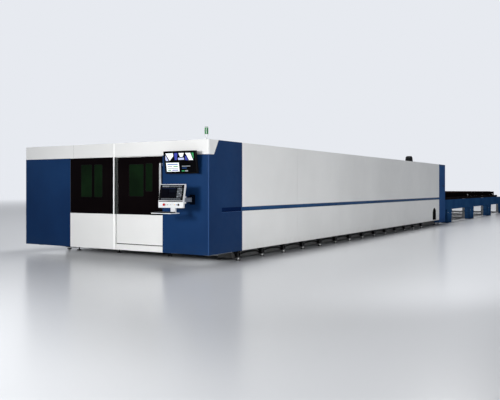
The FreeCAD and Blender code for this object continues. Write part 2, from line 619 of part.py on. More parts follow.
def levelling_feet():
    """Feet in brackets on both flanks of the bed, and feet under its front and the portal."""
    made = []
    centre = "(bed_outer + foot_reach / 2 + bracket_plate / 2)"
    for k in range(int(value("foot_count"))):
        middle = f"foot_start + {k} * foot_pitch"
        for side, sign in (("right", ""), ("left", "-")):
            mark = f"{side}_foot_{k}"
            spans = {"right": ("bed_outer", "bed_outer + foot_reach + bracket_plate"),
                     "left": ("-bed_outer - foot_reach - bracket_plate", "-bed_outer")}
            shelf = block(f"{mark}_shelf", spans[side],
                          (f"{middle} - foot_width / 2", f"{middle} + foot_width / 2"),
                          ("bracket_foot", "bracket_foot + bracket_plate"))
            web = ("bed_outer", "bed_outer + cheek_reach")
            if side == "left":
                web = ("-bed_outer - cheek_reach", "-bed_outer")
            cheeks = []
            for end, low in (("front", f"{middle} - foot_width / 2"),
                             ("rear", f"{middle} + foot_width / 2 - bracket_plate")):
                cheeks.append(block(f"{mark}_{end}", web, (low, f"{low} + bracket_plate"),
                                    ("bracket_foot + bracket_plate", "bracket_foot + bracket_height")))
            stand = foot(f"{mark}_stand", f"{sign}{centre}", middle, "stem_top")
            nut = hexagon(f"{mark}_nut", (f"{sign}{centre}", middle, "bracket_foot + bracket_plate"),
                          "nut_radius", "nut_height")
            made.append(fused(mark, [shelf] + cheeks + [stand, nut]))
    spots = [("side", "bed_inner - front_foot_inset", "bed_start + cross_beam_width / 2", "cross_beam_foot"),
             ("middle", "front_foot_middle", "bed_start + cross_beam_width / 2", "cross_beam_foot"),
             ("portal_front", "half_width - portal_foot_side", "hall_end + portal_foot_front",
              "portal_gap"),
             ("portal_rear", "half_width - portal_foot_side", "ring_end - portal_foot_rear", "portal_gap")]
    for mark, x, y, top in spots:
        for side, sign in (("right", ""), ("left", "-")):
            made.append(foot(f"{mark}_{side}_foot", f"{sign}({x})", y, top))
    return group("levelling_feet", made)


def gantry_rails():
    """Linear guide rails and toothed racks on top of the bed's side beams."""
    reach = ("bed_start + rail_margin", "bed_end - rail_margin")
    rails = pair("guide", ("guide_place", "guide_place + guide_width"), reach,
                 ("bed_top", "bed_top + guide_height"))
    rails += pair("rack", ("rack_place", "rack_place + rack_width"), reach,
                  ("bed_top", "bed_top + rack_height"))
    return group("gantry_rails", rails)


def pallet_rails():
    """Angle rails inside the bed that carry the pallet's wheels at working height."""
    return group("pallet_rails", pair_prism("pallet_rail", [
        ("pallet_half + ledge_play", "level"), ("bed_inner", "level"), ("bed_inner", "level - rail_leg"),
        ("bed_inner - rail_leg_wall", "level - rail_leg"),
        ("bed_inner - rail_leg_wall", "level - ledge_thickness"),
        ("pallet_half + ledge_play", "level - ledge_thickness"),
    ], "inner_rail_start", "ring_end"))


def scrap_chute():
    """Sloping chute sheets on both sides and the collecting trough between them."""
    reach = ("bed_start + trough_margin", "bed_end - trough_margin")
    floor = block("trough_floor", ("-trough_half", "trough_half"), reach,
                  ("trough_foot", "trough_foot + sheet"))
    walls = pair("trough_wall", ("trough_half - sheet", "trough_half"), reach,
                 ("trough_foot + sheet", "trough_top"))
    slopes = pair_prism("chute", [
        ("bed_inner", "chute_outer"), ("bed_inner", "chute_outer + sheet"),
        ("trough_half - sheet", "trough_top + sheet"), ("trough_half - sheet", "trough_top"),
    ], *reach)
    return group("scrap_chute", [floor] + walls + slopes)


def gantry():
    """Cross beam with a truss of windows on two end trucks whose blocks straddle the guide rails."""
    beam = block("beam", ("-bed_outer + truck_play", "bed_outer - truck_play"),
                 ("gantry_front", "gantry_back"), ("gantry_foot", "gantry_top"))
    holes = []
    span = "(2 * bed_inner / truss_bays)"
    for k in range(int(value("truss_bays"))):
        left = f"(-bed_inner + {k} * {span} + truss_wall / 2)"
        right = f"(-bed_inner + ({k} + 1) * {span} - truss_wall / 2)"
        low, high = "gantry_foot + truss_wall", "gantry_top - truss_wall"
        wide, narrow = (low, high) if k % 2 else (high, low)
        holes.append(prism(f"truss_{k}", "XZ", [
            (left, wide), (right, wide), (f"{right} - truss_slant", narrow),
            (f"{left} + truss_slant", narrow),
        ], "gantry_front - overrun", "gantry_back - truss_wall"))
    rails = []
    for mark, foot_height in (("low", "gantry_rail_foot"), ("high", "gantry_rail_top")):
        rails.append(block(f"beam_rail_{mark}", ("-bed_inner", "bed_inner"),
                           ("gantry_back", "gantry_back + gantry_rail"),
                           (f"gantry_foot + {foot_height}", f"gantry_foot + {foot_height} + gantry_rail")))
    inner, outer = "(bed_inner + truck_play)", "(bed_outer - truck_play)"
    skirt_in, skirt_out = "(guide_place - block_width)", "(guide_place + guide_width + block_skirt)"
    top, low = "bed_top + truck_foot", "bed_top + block_lift"
    groove_in, groove_out = "(guide_place - block_play)", "(guide_place + guide_width + block_play)"
    roof_line = "bed_top + guide_height + block_play"
    trucks = pair_prism("truck", [
        (inner, top), (skirt_in, top), (skirt_in, low), (groove_in, low), (groove_in, roof_line),
        (groove_out, roof_line), (groove_out, low), (skirt_out, low), (skirt_out, top), (outer, top),
        (outer, "gantry_foot"), (inner, "gantry_foot"),
    ], "gantry_place - truck_length / 2", "gantry_place + truck_length / 2")
    return [group("gantry_beam", [cut("gantry_truss", beam, holes)] + rails),
            group("gantry_trucks", trucks)]


def carriage():
    """Cross carriage: grooved plate on the beam's rails and the housing of the vertical axis."""
    low, high = "gantry_foot + gantry_rail_foot", "gantry_foot + gantry_rail_top"
    plate = block("carriage_back", ("-carriage_half", "carriage_half"), ("plate_front", "plate_back"),
                  ("gantry_foot + carriage_foot", "gantry_top + carriage_rise"))
    shoes = []
    for mark, rail in (("low", low), ("high", high)):
        shoe = block(f"shoe_{mark}_block", ("-shoe_half", "shoe_half"),
                     ("gantry_back + shoe_gap", "plate_front"),
                     (f"{rail} - shoe_lip", f"{rail} + gantry_rail + shoe_lip"))
        groove = block(f"shoe_{mark}_groove", ("-carriage_half", "carriage_half"),
                       ("gantry_back", "gantry_back + gantry_rail + slide_play"),
                       (f"{rail} - slide_play", f"{rail} + gantry_rail + slide_play"))
        shoes.append(cut(f"shoe_{mark}", shoe, [groove]))
    tower = block("z_tower", ("-z_half", "z_half"), ("plate_back", "z_back"),
                  ("gantry_foot + z_foot", "gantry_foot + z_foot + z_height"))
    return fused("cross_carriage", [plate] + shoes + [tower])


def head_parts():
    """Vertical slide with its clamp, and the turned cutting head down to the nozzle tip."""
    plate = block("slide_plate", ("-slide_half", "slide_half"), ("z_back + slide_play", "slide_back"),
                  ("gantry_foot + slide_foot", "gantry_foot + slide_foot + slide_height"))
    clamp_foot = "gantry_foot + slide_foot + clamp_rise"
    clamp = block("head_clamp", ("-head_radius - clamp_cheek", "head_radius + clamp_cheek"),
                  ("slide_back", "head_place"), (clamp_foot, f"{clamp_foot} + clamp_height"))
    bore = rod("clamp_bore", ("0", "head_place", f"{clamp_foot} - overrun"), "head_radius",
               "clamp_height + 2 * overrun")
    head = turned("cutting_head", [
        ("0", "0"), ("0", "tip_radius"), ("tip_height", "tip_flare"), ("nozzle_top", "nozzle_flare"),
        ("nozzle_top", "lens_radius"), ("lens_top", "lens_radius"), ("body_foot", "head_radius"),
        ("body_top", "head_radius"), ("neck_foot", "neck_radius"), ("head_height", "neck_radius"),
        ("head_height", "0"),
    ], ("0", "head_place", "nozzle_height"))
    return [fused("head_slide", [plate, cut("head_clamp_cut", clamp, [bore])]), head]


def rear_portal():
    """Blue rear portal: towers, lintel and sill round the pallet opening, and the gate's guide."""
    made = []
    depth = ("hall_end", "ring_end")
    made += pair("tower", ("opening_half", "half_width"), depth, ("portal_gap", "panel_top"))
    made.append(block("lintel", ("-opening_half", "opening_half"), depth, ("opening_top", "panel_top")))
    made.append(block("sill", ("-opening_half", "opening_half"), depth, ("portal_gap", "opening_foot")))
    lap = "opening_half + gate_lap + slide_play"
    made += pair("cheek", (lap, "half_width"), ("ring_end", "portal_end"), ("portal_gap", "panel_top"))
    made.append(block("lintel_cover", (f"-({lap})", lap), ("gate_back", "portal_end"),
                      ("opening_top", "panel_top")))
    made.append(block("sill_cover", (f"-({lap})", lap), ("gate_back", "portal_end"),
                      ("portal_gap", "opening_foot")))
    made += pair("cover_edge", ("opening_half", lap), ("gate_back", "portal_end"),
                 ("opening_foot", "opening_top"))
    gate = block("rear_gate", ("-opening_half - gate_lap", "opening_half + gate_lap"),
                 ("ring_end + slide_play", "gate_back - slide_play"),
                 ("gate_foot", "gate_foot + opening_height + gate_cover"))
    return [group("rear_portal", made), gate]


def exchange_table():
    """Blue side rails on stepped legs, cross beams, and the columns that guide the lift."""
    rails = pair_prism("table_rail", [
        ("rail_face", "rail_foot"), ("rail_face", "rail_foot + rail_height"),
        ("rail_back", "rail_foot + rail_height"), ("rail_back", "rail_foot + rail_height - rail_sheet"),
        ("rail_face - rail_sheet", "rail_foot + rail_height - rail_sheet"),
        ("rail_face - rail_sheet", "rail_foot + rail_sheet"), ("rail_back", "rail_foot + rail_sheet"),
        ("rail_back", "rail_foot"),
    ], "portal_end", "table_end")
    legs, frame = [], []
    for k in range(int(value("leg_count"))):
        start = f"(portal_end + leg_first + {k} * leg_pitch)"
        for side, low, high in (("right", "leg_inner", "rail_face"),
                                ("left", "-rail_face", "-leg_inner")):
            legs.append(prism(f"{side}_leg_{k}", "YZ", [
                (start, "rail_foot"), (start, "leg_waist + leg_step"),
                (f"{start} + leg_step", "leg_waist"), (f"{start} + leg_step", "leg_base"),
                (f"{start} + base_inset", "leg_base"), (f"{start} + base_inset", "0"),
                (f"{start} + leg_length - base_inset", "0"),
                (f"{start} + leg_length - base_inset", "leg_base"),
                (f"{start} + leg_length - leg_step", "leg_base"),
                (f"{start} + leg_length - leg_step", "leg_waist"),
                (f"{start} + leg_length", "leg_waist + leg_step"), (f"{start} + leg_length", "rail_foot"),
            ], low, high))
        middle = f"{start} + leg_length / 2"
        frame.append(block(f"table_cross_{k}", ("-leg_inner", "leg_inner"),
                           (f"{middle} - table_beam_width / 2", f"{middle} + table_beam_width / 2"),
                           ("table_beam_foot", "table_beam_foot + table_beam_height")))
        frame += pair(f"column_{k}", ("column_face", "column_face + column_width"),
                      (f"{middle} - column_length / 2", f"{middle} + column_length / 2"),
                      ("table_beam_foot + table_beam_height", "column_top"))
    frame.append(block("table_end_beam", ("-rail_back", "rail_back"), ("table_end - end_beam", "table_end"),
                       ("rail_foot", "rail_foot + end_beam_height")))
    return [group("table_side_rails", rails), group("table_legs", legs), group("table_frame", frame)]


def lift_rack():
    """Lifting rack: side webs with a ledge for each pallet, tie beams below, pads at the columns."""
    reach = ("rack_front", "rack_back")
    parts = pair("rack_web", ("web_inner", "web_outer"), reach, ("rack_foot", "upper_level"))
    for mark, height in (("low", "level"), ("high", "upper_level")):
        parts += pair(f"rack_ledge_{mark}", ("pallet_half + ledge_play", "web_inner"), reach,
                      (f"{height} - ledge_thickness", height))
    for k in range(int(value("leg_count"))):
        middle = f"(portal_end + leg_first + {k} * leg_pitch + leg_length / 2)"
        parts.append(block(f"rack_tie_{k}", ("-web_inner", "web_inner"),
                           (f"{middle} - rack_tie_width / 2", f"{middle} + rack_tie_width / 2"),
                           ("rack_foot", "rack_foot + rack_tie")))
        parts += pair(f"rack_pad_{k}", ("web_outer", "column_face - slide_play"),
                      (f"{middle} - rack_pad_half", f"{middle} + rack_pad_half"),
                      ("rack_foot + rack_pad_foot", "column_top - rack_pad_top"))
    return group("lift_rack", parts)


def pallet(name, height):
    """One slatted pallet: side and end members, stringers under the slats, and the wheel pins."""
    inner = "pallet_half - pallet_member"
    reach = ("pallet_front", "pallet_back")
    frame = pair(f"{name}_side", (inner, "pallet_half"), reach, (height, f"{height} + pallet_height"))
    for end, low in (("front", "pallet_front"), ("rear", "pallet_back - pallet_member")):
        frame.append(block(f"{name}_{end}_member", (f"-({inner})", inner), (low, f"{low} + pallet_member"),
                           (height, f"{height} + pallet_height")))
    within = ("pallet_front + pallet_member", "pallet_back - pallet_member")
    stringer = ("stringer_place - stringer_width / 2", "stringer_place + stringer_width / 2")
    frame += pair(f"{name}_stringer", stringer, within, (height, f"{height} + stringer_height"))
    frame.append(block(f"{name}_middle_stringer", ("-stringer_width / 2", "stringer_width / 2"), within,
                       (height, f"{height} + stringer_height")))
    hub = f"{height} + wheel_radius + slide_play"
    sets = []
    for k in range(int(value("wheel_count"))):
        along = f"pallet_front + wheel_first + {k} * wheel_pitch"
        wheels = []
        for side, sign in (("right", ""), ("left", "-")):
            stub = f"{name}_pin_{k}_{side}"
            reach_pin = "wheel_width + wheel_gap + pin_over"
            start = "pallet_half" if side == "right" else f"-pallet_half - ({reach_pin})"
            frame.append(rod(stub, (start, along, hub), "pin_radius", reach_pin, "X"))
            face = "wheel_gap" if side == "right" else "-(wheel_gap + wheel_width)"
            wheels.append(turned(f"{name}_wheel_{k}_{side}", [
                (face, "pin_radius + slide_play"), (face, "hub_radius"),
                (f"{face} + hub_width", "hub_radius"), (f"{face} + hub_width", "wheel_radius"),
                (f"{face} + wheel_width - wheel_bevel", "wheel_radius"),
                (f"{face} + wheel_width", "wheel_radius - wheel_bevel"),
                (f"{face} + wheel_width", "pin_radius + slide_play"),
            ], (f"{sign}pallet_half", along, hub), "X"))
        sets.append(group(f"{name}_wheelset_{k + 1}", wheels))
    slats = []
    room = value("pallet_length - 2 * pallet_member - slat_pitch")
    for k in range(int(room / value("slat_pitch")) + 1):
        start = f"pallet_front + pallet_member + ({k} + 0.5) * slat_pitch"
        slats.append(block(f"{name}_slat_{k}", (f"-({inner})", inner), (start, f"{start} + slat_thickness"),
                           (f"{height} + stringer_height", f"{height} + slat_top")))
    return [group(f"{name}_frame", frame), group(f"{name}_slats", slats)] + sets


def signal_tower():
    """Pole on the header's right end with a green lamp."""
    base = turned("signal_pole", [
        ("0", "0"), ("0", "tower_base"), ("tower_base_height", "tower_base"),
        ("tower_base_height", "tower_pole"), ("tower_pole_height - tower_collar", "tower_pole"),
        ("tower_pole_height - tower_collar", "tower_lens"), ("tower_pole_height", "tower_lens"),
        ("tower_pole_height", "0"),
    ], ("tower_place", "tower_depth", "panel_top"))
    lamp = turned("signal_lamp", [
        ("0", "0"), ("0", "tower_lens - tower_lens_wall"),
        ("tower_lens_height", "tower_lens - tower_lens_wall"), ("tower_lens_height", "tower_lens"),
        ("tower_lens_height + tower_cap / 2", "tower_lens"),
        ("tower_lens_height + tower_cap", "tower_cap_round"), ("tower_lens_height + tower_cap", "0"),
    ], ("tower_place", "tower_depth", "panel_top + tower_pole_height"))
    return [base, lamp]


def console():
    """Swing arm, console housing with its leaning screen, keyboard tray and the controls."""
    x = "arm_place"
    lugs = []
    heights = (("low", "eye_foot - lug_height", "eye_foot"), ("high", "eye_top", "eye_top + lug_height"))
    plate = block("wall_plate", (f"{x} - plate_half", f"{x} + plate_half"), ("-plate_sheet", "0"),
                  ("eye_foot - 2 * lug_height", "eye_top + 2 * lug_height"))
    wall_pin = rod("wall_pin", (x, "-swing_pivot", "eye_foot"), "knuckle_bore", "eye_height")
    for mark, low, high in heights:
        lugs.append(block(f"wall_lug_{mark}", (f"{x} - lug_half", f"{x} + lug_half"),
                          ("-swing_pivot - lug_half", "-plate_sheet"), (low, high)))
    bracket = fused("console_mount", [plate, wall_pin] + lugs)
    low, tall = "eye_foot + slide_play", "eye_height - 2 * slide_play"
    eyes = [rod(f"{mark}_eye", (x, y, low), "eye_radius", tall)
            for mark, y in (("wall", "-swing_pivot"), ("desk", "-desk_pivot"))]
    bar = block("arm_beam", (f"{x} - arm_bar / 2", f"{x} + arm_bar / 2"), ("-desk_pivot", "-swing_pivot"),
                (low, f"{low} + {tall}"))
    bores = [rod(f"{mark}_bore", (x, y, "eye_foot - overrun"), "knuckle_bore + slide_play",
                 "eye_height + 2 * overrun")
             for mark, y in (("wall", "-swing_pivot"), ("desk", "-desk_pivot"))]
    arm = cut("swing_arm", fused("arm_blank", eyes + [bar]), bores)

    face, rear = "-desk_front", "desk_rear"
    rise = "(desk_top - desk_knee)"
    slope = f"(desk_lean / {rise})"
    shell = prism("desk_shell", "YZ", [
        (face, "desk_foot"), (rear, "desk_foot"), (rear, "desk_knee"),
        (f"{rear} + {slope} * ({rise} - desk_shoulder)", "desk_top - desk_shoulder"),
        (f"{rear} + desk_lean - desk_bevel", "desk_top"),
        (f"{face} + desk_lean", "desk_top"), (face, "desk_knee"),
    ], "desk_left", "desk_right")
    desk_pin = rod("desk_pin", (x, "-desk_pivot", "eye_foot"), "knuckle_bore", "eye_height")
    ears = [block(f"desk_lug_{mark}", (f"{x} - lug_half", f"{x} + lug_half"),
                  ("desk_rear", "-desk_pivot + lug_half"), (low_end, high_end))
            for mark, low_end, high_end in heights]
    sockets = []
    for mark, place, radius, travel in (("stop", "stop_place", "stop_neck", "stop_travel"),
                                        ("button", "button_place", "button_radius", "button_travel"),
                                        ("knob", "knob_place", "knob_stem", "0")):
        sockets.append(rod(f"{mark}_socket", (f"desk_left + {place}", f"{face} - overrun", "stop_level"),
                           f"{radius} + control_play", f"control_stem + {travel} + 2 * overrun", "Y"))
    housing = cut("console_housing", fused("desk_blank", [shell, desk_pin] + ears), sockets)

    lean = f"sqrt(desk_lean * desk_lean + {rise} * {rise})"
    thick = f"(bezel * {lean} / {rise})"
    low_edge, high_edge = "(desk_knee + bezel_margin)", "(desk_top - bezel_margin)"
    screen = prism("console_screen", "YZ", [
        (f"{face} + {slope} * bezel_margin", low_edge),
        (f"{face} + {slope} * ({high_edge} - desk_knee)", high_edge),
        (f"{face} + {slope} * ({high_edge} - desk_knee) - {thick}", high_edge),
        (f"{face} + {slope} * bezel_margin - {thick}", low_edge),
    ], "desk_left + bezel_margin", "desk_right - bezel_margin")

    shelf = block("tray_plate", ("desk_left", "desk_left + tray_width"), ("-tray_reach", "-tray_back"),
                  ("tray_foot", "tray_top"))
    stem = "(desk_left + stem_place)"
    neck = block("tray_neck", (f"{stem} - stem_half", f"{stem} + stem_half"),
                 (face, f"{face} + stem_depth"), ("tray_top", "desk_foot"))
    tray = fused("keyboard_tray", [shelf, neck])
    keys = block("keyboard", ("desk_left + keyboard_inset", "desk_left + keyboard_inset + keyboard_width"),
                 ("-tray_reach + keyboard_inset", "-tray_reach + keyboard_inset + keyboard_depth"),
                 ("tray_top", "tray_top + keyboard_height"))
    stop = turned("emergency_stop", [
        ("control_stem", "0"), ("control_stem", "stop_neck"), ("-stop_travel - stop_skirt", "stop_neck"),
        ("-stop_travel - stop_skirt", "stop_radius"), ("-stop_travel - control_reach", "stop_radius"),
        ("-stop_travel - control_reach - control_round", "stop_crown"),
        ("-stop_travel - control_reach - control_round", "0"),
    ], ("desk_left + stop_place", face, "stop_level"), "Y")
    button = turned("start_button", [
        ("control_stem", "0"), ("control_stem", "button_radius"),
        ("-button_height + button_bevel - button_travel", "button_radius"),
        ("-button_height - button_travel", "button_radius - button_bevel"),
        ("-button_height - button_travel", "0"),
    ], ("desk_left + button_place", face, "stop_level"), "Y")
    knob = turned("selector_knob", [
        ("control_stem", "0"), ("control_stem", "knob_stem"), ("-control_play", "knob_stem"),
        ("-control_play", "knob_radius"), ("-knob_skirt", "knob_radius"), ("-knob_skirt", "knob_waist"),
        ("-control_reach - control_round", "knob_nose"), ("-control_reach - control_round", "0"),
    ], ("desk_left + knob_place", face, "stop_level"), "Y")
    return [bracket, arm, housing, screen, tray, keys, stop, button, knob]


def monitor():
    """Large tilted monitor on a knuckle between two ears of its wall bracket."""
    x, level = "desk_place", "monitor_mid"
    plate = block("monitor_plate", (f"{x} - 2 * plate_half", f"{x} + 2 * plate_half"), ("-plate_sheet", "0"),
                  (f"{level} - plate_half", f"{level} + plate_half"))
    knuckle_out = "(monitor_knuckle_half + slide_play)"
    ears = []
    for side, low, high in (("left", f"{x} - {knuckle_out} - monitor_ear", f"{x} - {knuckle_out}"),
                            ("right", f"{x} + {knuckle_out}", f"{x} + {knuckle_out} + monitor_ear")):
        ears.append(block(f"monitor_{side}_ear", (low, high),
                          ("-monitor_pivot - monitor_ear_over", "-plate_sheet"),
                          (f"{level} - monitor_ear_half", f"{level} + monitor_ear_half")))
    pin = rod("monitor_pin", (f"{x} - {knuckle_out}", "-monitor_pivot", level), "knuckle_bore",
              f"2 * {knuckle_out}", "X")
    bracket = fused("monitor_mount", [plate, pin] + ears)

    centre = f"{x} - monitor_knuckle_half"
    roll = rod("monitor_roll", (centre, "-monitor_pivot", level), "monitor_knuckle",
               "2 * monitor_knuckle_half", "X")
    body = prism("monitor_case", "YZ", [
        ("-monitor_gap", "-monitor_height / 2"), ("-monitor_gap", "monitor_height / 2"),
        ("-monitor_gap - monitor_thickness", "monitor_height / 2"),
        ("-monitor_gap - monitor_thickness", "-monitor_height / 2"),
    ], "desk_place - monitor_width / 2", "desk_place + monitor_width / 2")
    front = "-monitor_gap - monitor_thickness"
    glass = prism("monitor_screen", "YZ", [
        (front, "-monitor_height / 2 + screen_margin"), (front, "monitor_height / 2 - screen_margin"),
        (f"{front} - screen_sheet", "monitor_height / 2 - screen_margin"),
        (f"{front} - screen_sheet", "-monitor_height / 2 + screen_margin"),
    ], "desk_place - monitor_width / 2 + screen_margin", "desk_place + monitor_width / 2 - screen_margin")
    for piece in (body, glass):
        piece.Placement.Rotation = FreeCAD.Rotation(FreeCAD.Vector(1, 0, 0), value("monitor_tilt"))
        bind(piece, {"Placement.Rotation.Angle": "monitor_tilt",
                     "Placement.Base.y": "front_face - monitor_pivot", "Placement.Base.z": level})
    bore = rod("monitor_bore", (f"{centre} - overrun", "-monitor_pivot", level),
               "knuckle_bore + slide_play", "2 * (monitor_knuckle_half + overrun)", "X")
    case = cut("monitor_housing", fused("monitor_blank", [body, roll]), [bore])
    return [bracket, case, glass]


def cabinets():
    """Closed cabinets on the cabin's arms: the laser source on the left, electrics on the right."""
    made = []
    for name, side, width in (("laser_source_cabinet", "left", "left_cabinet"),
                              ("electrical_cabinet", "right", "right_cabinet")):
        edge = "inner_wall - cabinet_gap"
        spans = {"right": (f"{edge} - {width}", edge), "left": (f"-({edge})", f"-({edge}) + {width}")}
        start = "header_depth + cabinet_gap"
        case = block(f"{side}_case", spans[side], (start, f"{start} + cabinet_depth"),
                     ("floor_gap", "floor_gap + cabinet_height"))
        doc.recompute()
        soft = doc.addObject("Part::Chamfer", name)
        soft.Base = case
        bevel = value("cabinet_bevel")
        soft.Edges = [(number, bevel, bevel) for number, edge_line in enumerate(case.Shape.Edges, 1)
                      if abs(edge_line.tangentAt(edge_line.FirstParameter).z) > 0.99]
        made.append(soft)
    return made


def build():
    """Every piece in the order it is put together, from the bed outwards."""
    parts = bed() + [levelling_feet(), gantry_rails(), pallet_rails(), scrap_chute()]
    parts += cabinets() + cabin_shells() + [header(), centre_post()] + fixed_leaf() + sliding_door()
    parts += [door_tracks()] + side_walls() + [duct_collar()] + roof() + gantry() + [carriage()]
    parts += head_parts() + rear_portal() + exchange_table() + [lift_rack()]
    parts += pallet("upper_pallet", "upper_level") + pallet("lower_pallet", "level")
    parts += signal_tower()
    console_mount, *desk = console()
    monitor_mount, *screen = monitor()
    return parts + [group("wall_brackets", [console_mount, monitor_mount])] + desk + screen


def check(parts):
    """Stop when a feature failed to build or a finished piece isn't a valid solid."""
    for thing in doc.Objects:
        if "Invalid" in thing.State or "Error" in thing.State:
            raise RuntimeError(f"{thing.Name} failed: {thing.State}")
    for piece in parts:
        if piece.Shape.isNull() or not piece.Shape.isValid() or not piece.Shape.Solids:
            raise RuntimeError(f"{piece.Name} has no valid solid")


fill_sheets()
pieces = build()
doc.recompute()
check(pieces)
os.makedirs("parts", exist_ok=True)
for piece in pieces:
    piece.Label = piece.Name
    piece.Shape.exportStep(f"parts/{piece.Name}.step")
print(len(pieces), "pieces,", sum(len(piece.Shape.Solids) for piece in pieces), "solids")
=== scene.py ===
import math

import bpy
import numpy as np
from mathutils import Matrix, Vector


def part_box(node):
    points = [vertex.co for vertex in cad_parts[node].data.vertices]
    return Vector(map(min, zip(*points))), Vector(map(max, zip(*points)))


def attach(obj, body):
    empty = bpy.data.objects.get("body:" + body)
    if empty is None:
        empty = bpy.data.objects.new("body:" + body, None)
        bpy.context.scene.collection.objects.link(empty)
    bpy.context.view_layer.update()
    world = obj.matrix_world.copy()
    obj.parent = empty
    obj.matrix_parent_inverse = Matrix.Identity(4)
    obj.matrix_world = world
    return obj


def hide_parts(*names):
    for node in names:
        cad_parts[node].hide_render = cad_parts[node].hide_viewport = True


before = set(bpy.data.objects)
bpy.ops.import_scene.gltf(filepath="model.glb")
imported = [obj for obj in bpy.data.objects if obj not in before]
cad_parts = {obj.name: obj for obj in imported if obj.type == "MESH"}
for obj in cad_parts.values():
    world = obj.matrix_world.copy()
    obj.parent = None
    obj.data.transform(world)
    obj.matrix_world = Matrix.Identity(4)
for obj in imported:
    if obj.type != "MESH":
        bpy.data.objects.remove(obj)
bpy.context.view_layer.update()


# ----- bed
# Two long welded beams of thick plate carry the whole machine, painted matt dark grey. From each levelling
# bracket to the next, a black arch strip on their outer face is painted shade; black plates head the
# brackets.


def srgb(red, green, blue):
    """The linear colour of three 8-bit screen values c, as shares of 255: c / 12.92 up to 0.04045, and
    ((c + 0.055) / 1.055) ^ 2.4 above it."""
    c = np.array((red, green, blue)) / 255.0
    return tuple(np.where(c <= 0.04045, c / 12.92, ((c + 0.055) / 1.055) ** 2.4)) + (1.0,)


def finish(name, light, dark, rough, drift=0.6, grain=400.0, depth=0.0001, stretch=(1, 1, 1), metal=0.0,
           gloss=0.3, low_colour=None, low_top=0.5, glow=0.0):
    """A surface finish worked out from Object coordinates. Broad noise, about drift metres across, moves
    the colour between light and dark; middle noise moves the roughness; fine noise with grain cells to the
    metre, drawn out by stretch, lifts the surface by depth metres. Up to the height low_top the colour moves
    in patches towards low_colour: dust on most pieces, a plain darker blue towards the floor on the portal
    and the table.
    Colours are 8-bit screen values. Where light is a word, the colour is the piece's own attribute of that
    name, and dark is the share of it that the darker places keep."""
    made = bpy.data.materials.new(name)
    made.use_nodes = True
    nodes, links = made.node_tree.nodes, made.node_tree.links
    shader = nodes["Principled BSDF"]
    shader.inputs["Metallic"].default_value = metal
    shader.inputs["Specular IOR Level"].default_value = gloss
    place = nodes.new("ShaderNodeTexCoord").outputs["Object"]
    pull = nodes.new("ShaderNodeMapping")
    pull.inputs["Scale"].default_value = stretch
    links.new(place, pull.inputs["Vector"])

    def noise(cells, detail, source):
        cloud = nodes.new("ShaderNodeTexNoise")
        cloud.inputs["Scale"].default_value = cells
        cloud.inputs["Detail"].default_value = detail
        links.new(source, cloud.inputs["Vector"])
        return cloud.outputs["Fac"]

    def spread(value, *limits):
        ramp = nodes.new("ShaderNodeMapRange")
        for socket, number in zip(ramp.inputs[1:5], limits):
            socket.default_value = number
        links.new(value, ramp.inputs[0])
        return ramp.outputs[0]

    def blend(amount, *pair):
        mix = nodes.new("ShaderNodeMix")
        mix.data_type = "RGBA"
        links.new(amount, mix.inputs[0])
        for socket, colour in zip(mix.inputs[6:8], pair):
            if isinstance(colour, tuple):
                socket.default_value = colour
            else:
                links.new(colour, socket)
        return mix.outputs[2]

    if isinstance(light, str):
        own = nodes.new("ShaderNodeAttribute")
        own.attribute_name = light
        dim = nodes.new("ShaderNodeVectorMath")
        dim.operation = "SCALE"
        dim.inputs["Scale"].default_value = dark
        light, dark = own.outputs["Color"], dim.outputs[0]
        links.new(light, dim.inputs[0])
    else:
        light, dark = srgb(*light), srgb(*dark)
    colour = blend(spread(noise(1.0 / drift, 4.0, place), 0.35, 0.65, 0.0, 1.0), dark, light)
    if low_colour:
        split = nodes.new("ShaderNodeSeparateXYZ")
        links.new(place, split.inputs[0])
        low = nodes.new("ShaderNodeMath")
        low.operation = "MULTIPLY"
        links.new(spread(split.outputs["Z"], 0.0, low_top, 1.0, 0.0), low.inputs[0])
        links.new(spread(noise(9.0, 6.0, place), 0.3, 0.75, 0.0, 0.9), low.inputs[1])
        colour = blend(low.outputs[0], colour, srgb(*low_colour))
    links.new(colour, shader.inputs["Base Color"])
    links.new(spread(noise(12.0 / drift, 5.0, pull.outputs[0]), 0.3, 0.7, rough * 0.8, rough * 1.2),
              shader.inputs["Roughness"])
    bump = nodes.new("ShaderNodeBump")
    bump.inputs["Distance"].default_value = depth
    links.new(noise(grain, 2.0, pull.outputs[0]), bump.inputs["Height"])
    links.new(bump.outputs[0], shader.inputs["Normal"])
    if glow:
        shader.inputs["Emission Strength"].default_value = glow
        links.new(colour, shader.inputs["Emission Color"])
    return made


def dress(material, *names):
    """The CAD nodes of these names get this finish on every face."""
    for name in names:
        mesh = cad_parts[name].data
        mesh.materials.clear()
        mesh.materials.append(material)


def placed(name, data):
    """A new object made of this data, linked into the scene."""
    shown = bpy.data.objects.new(name, data)
    bpy.context.scene.collection.objects.link(shown)
    return shown


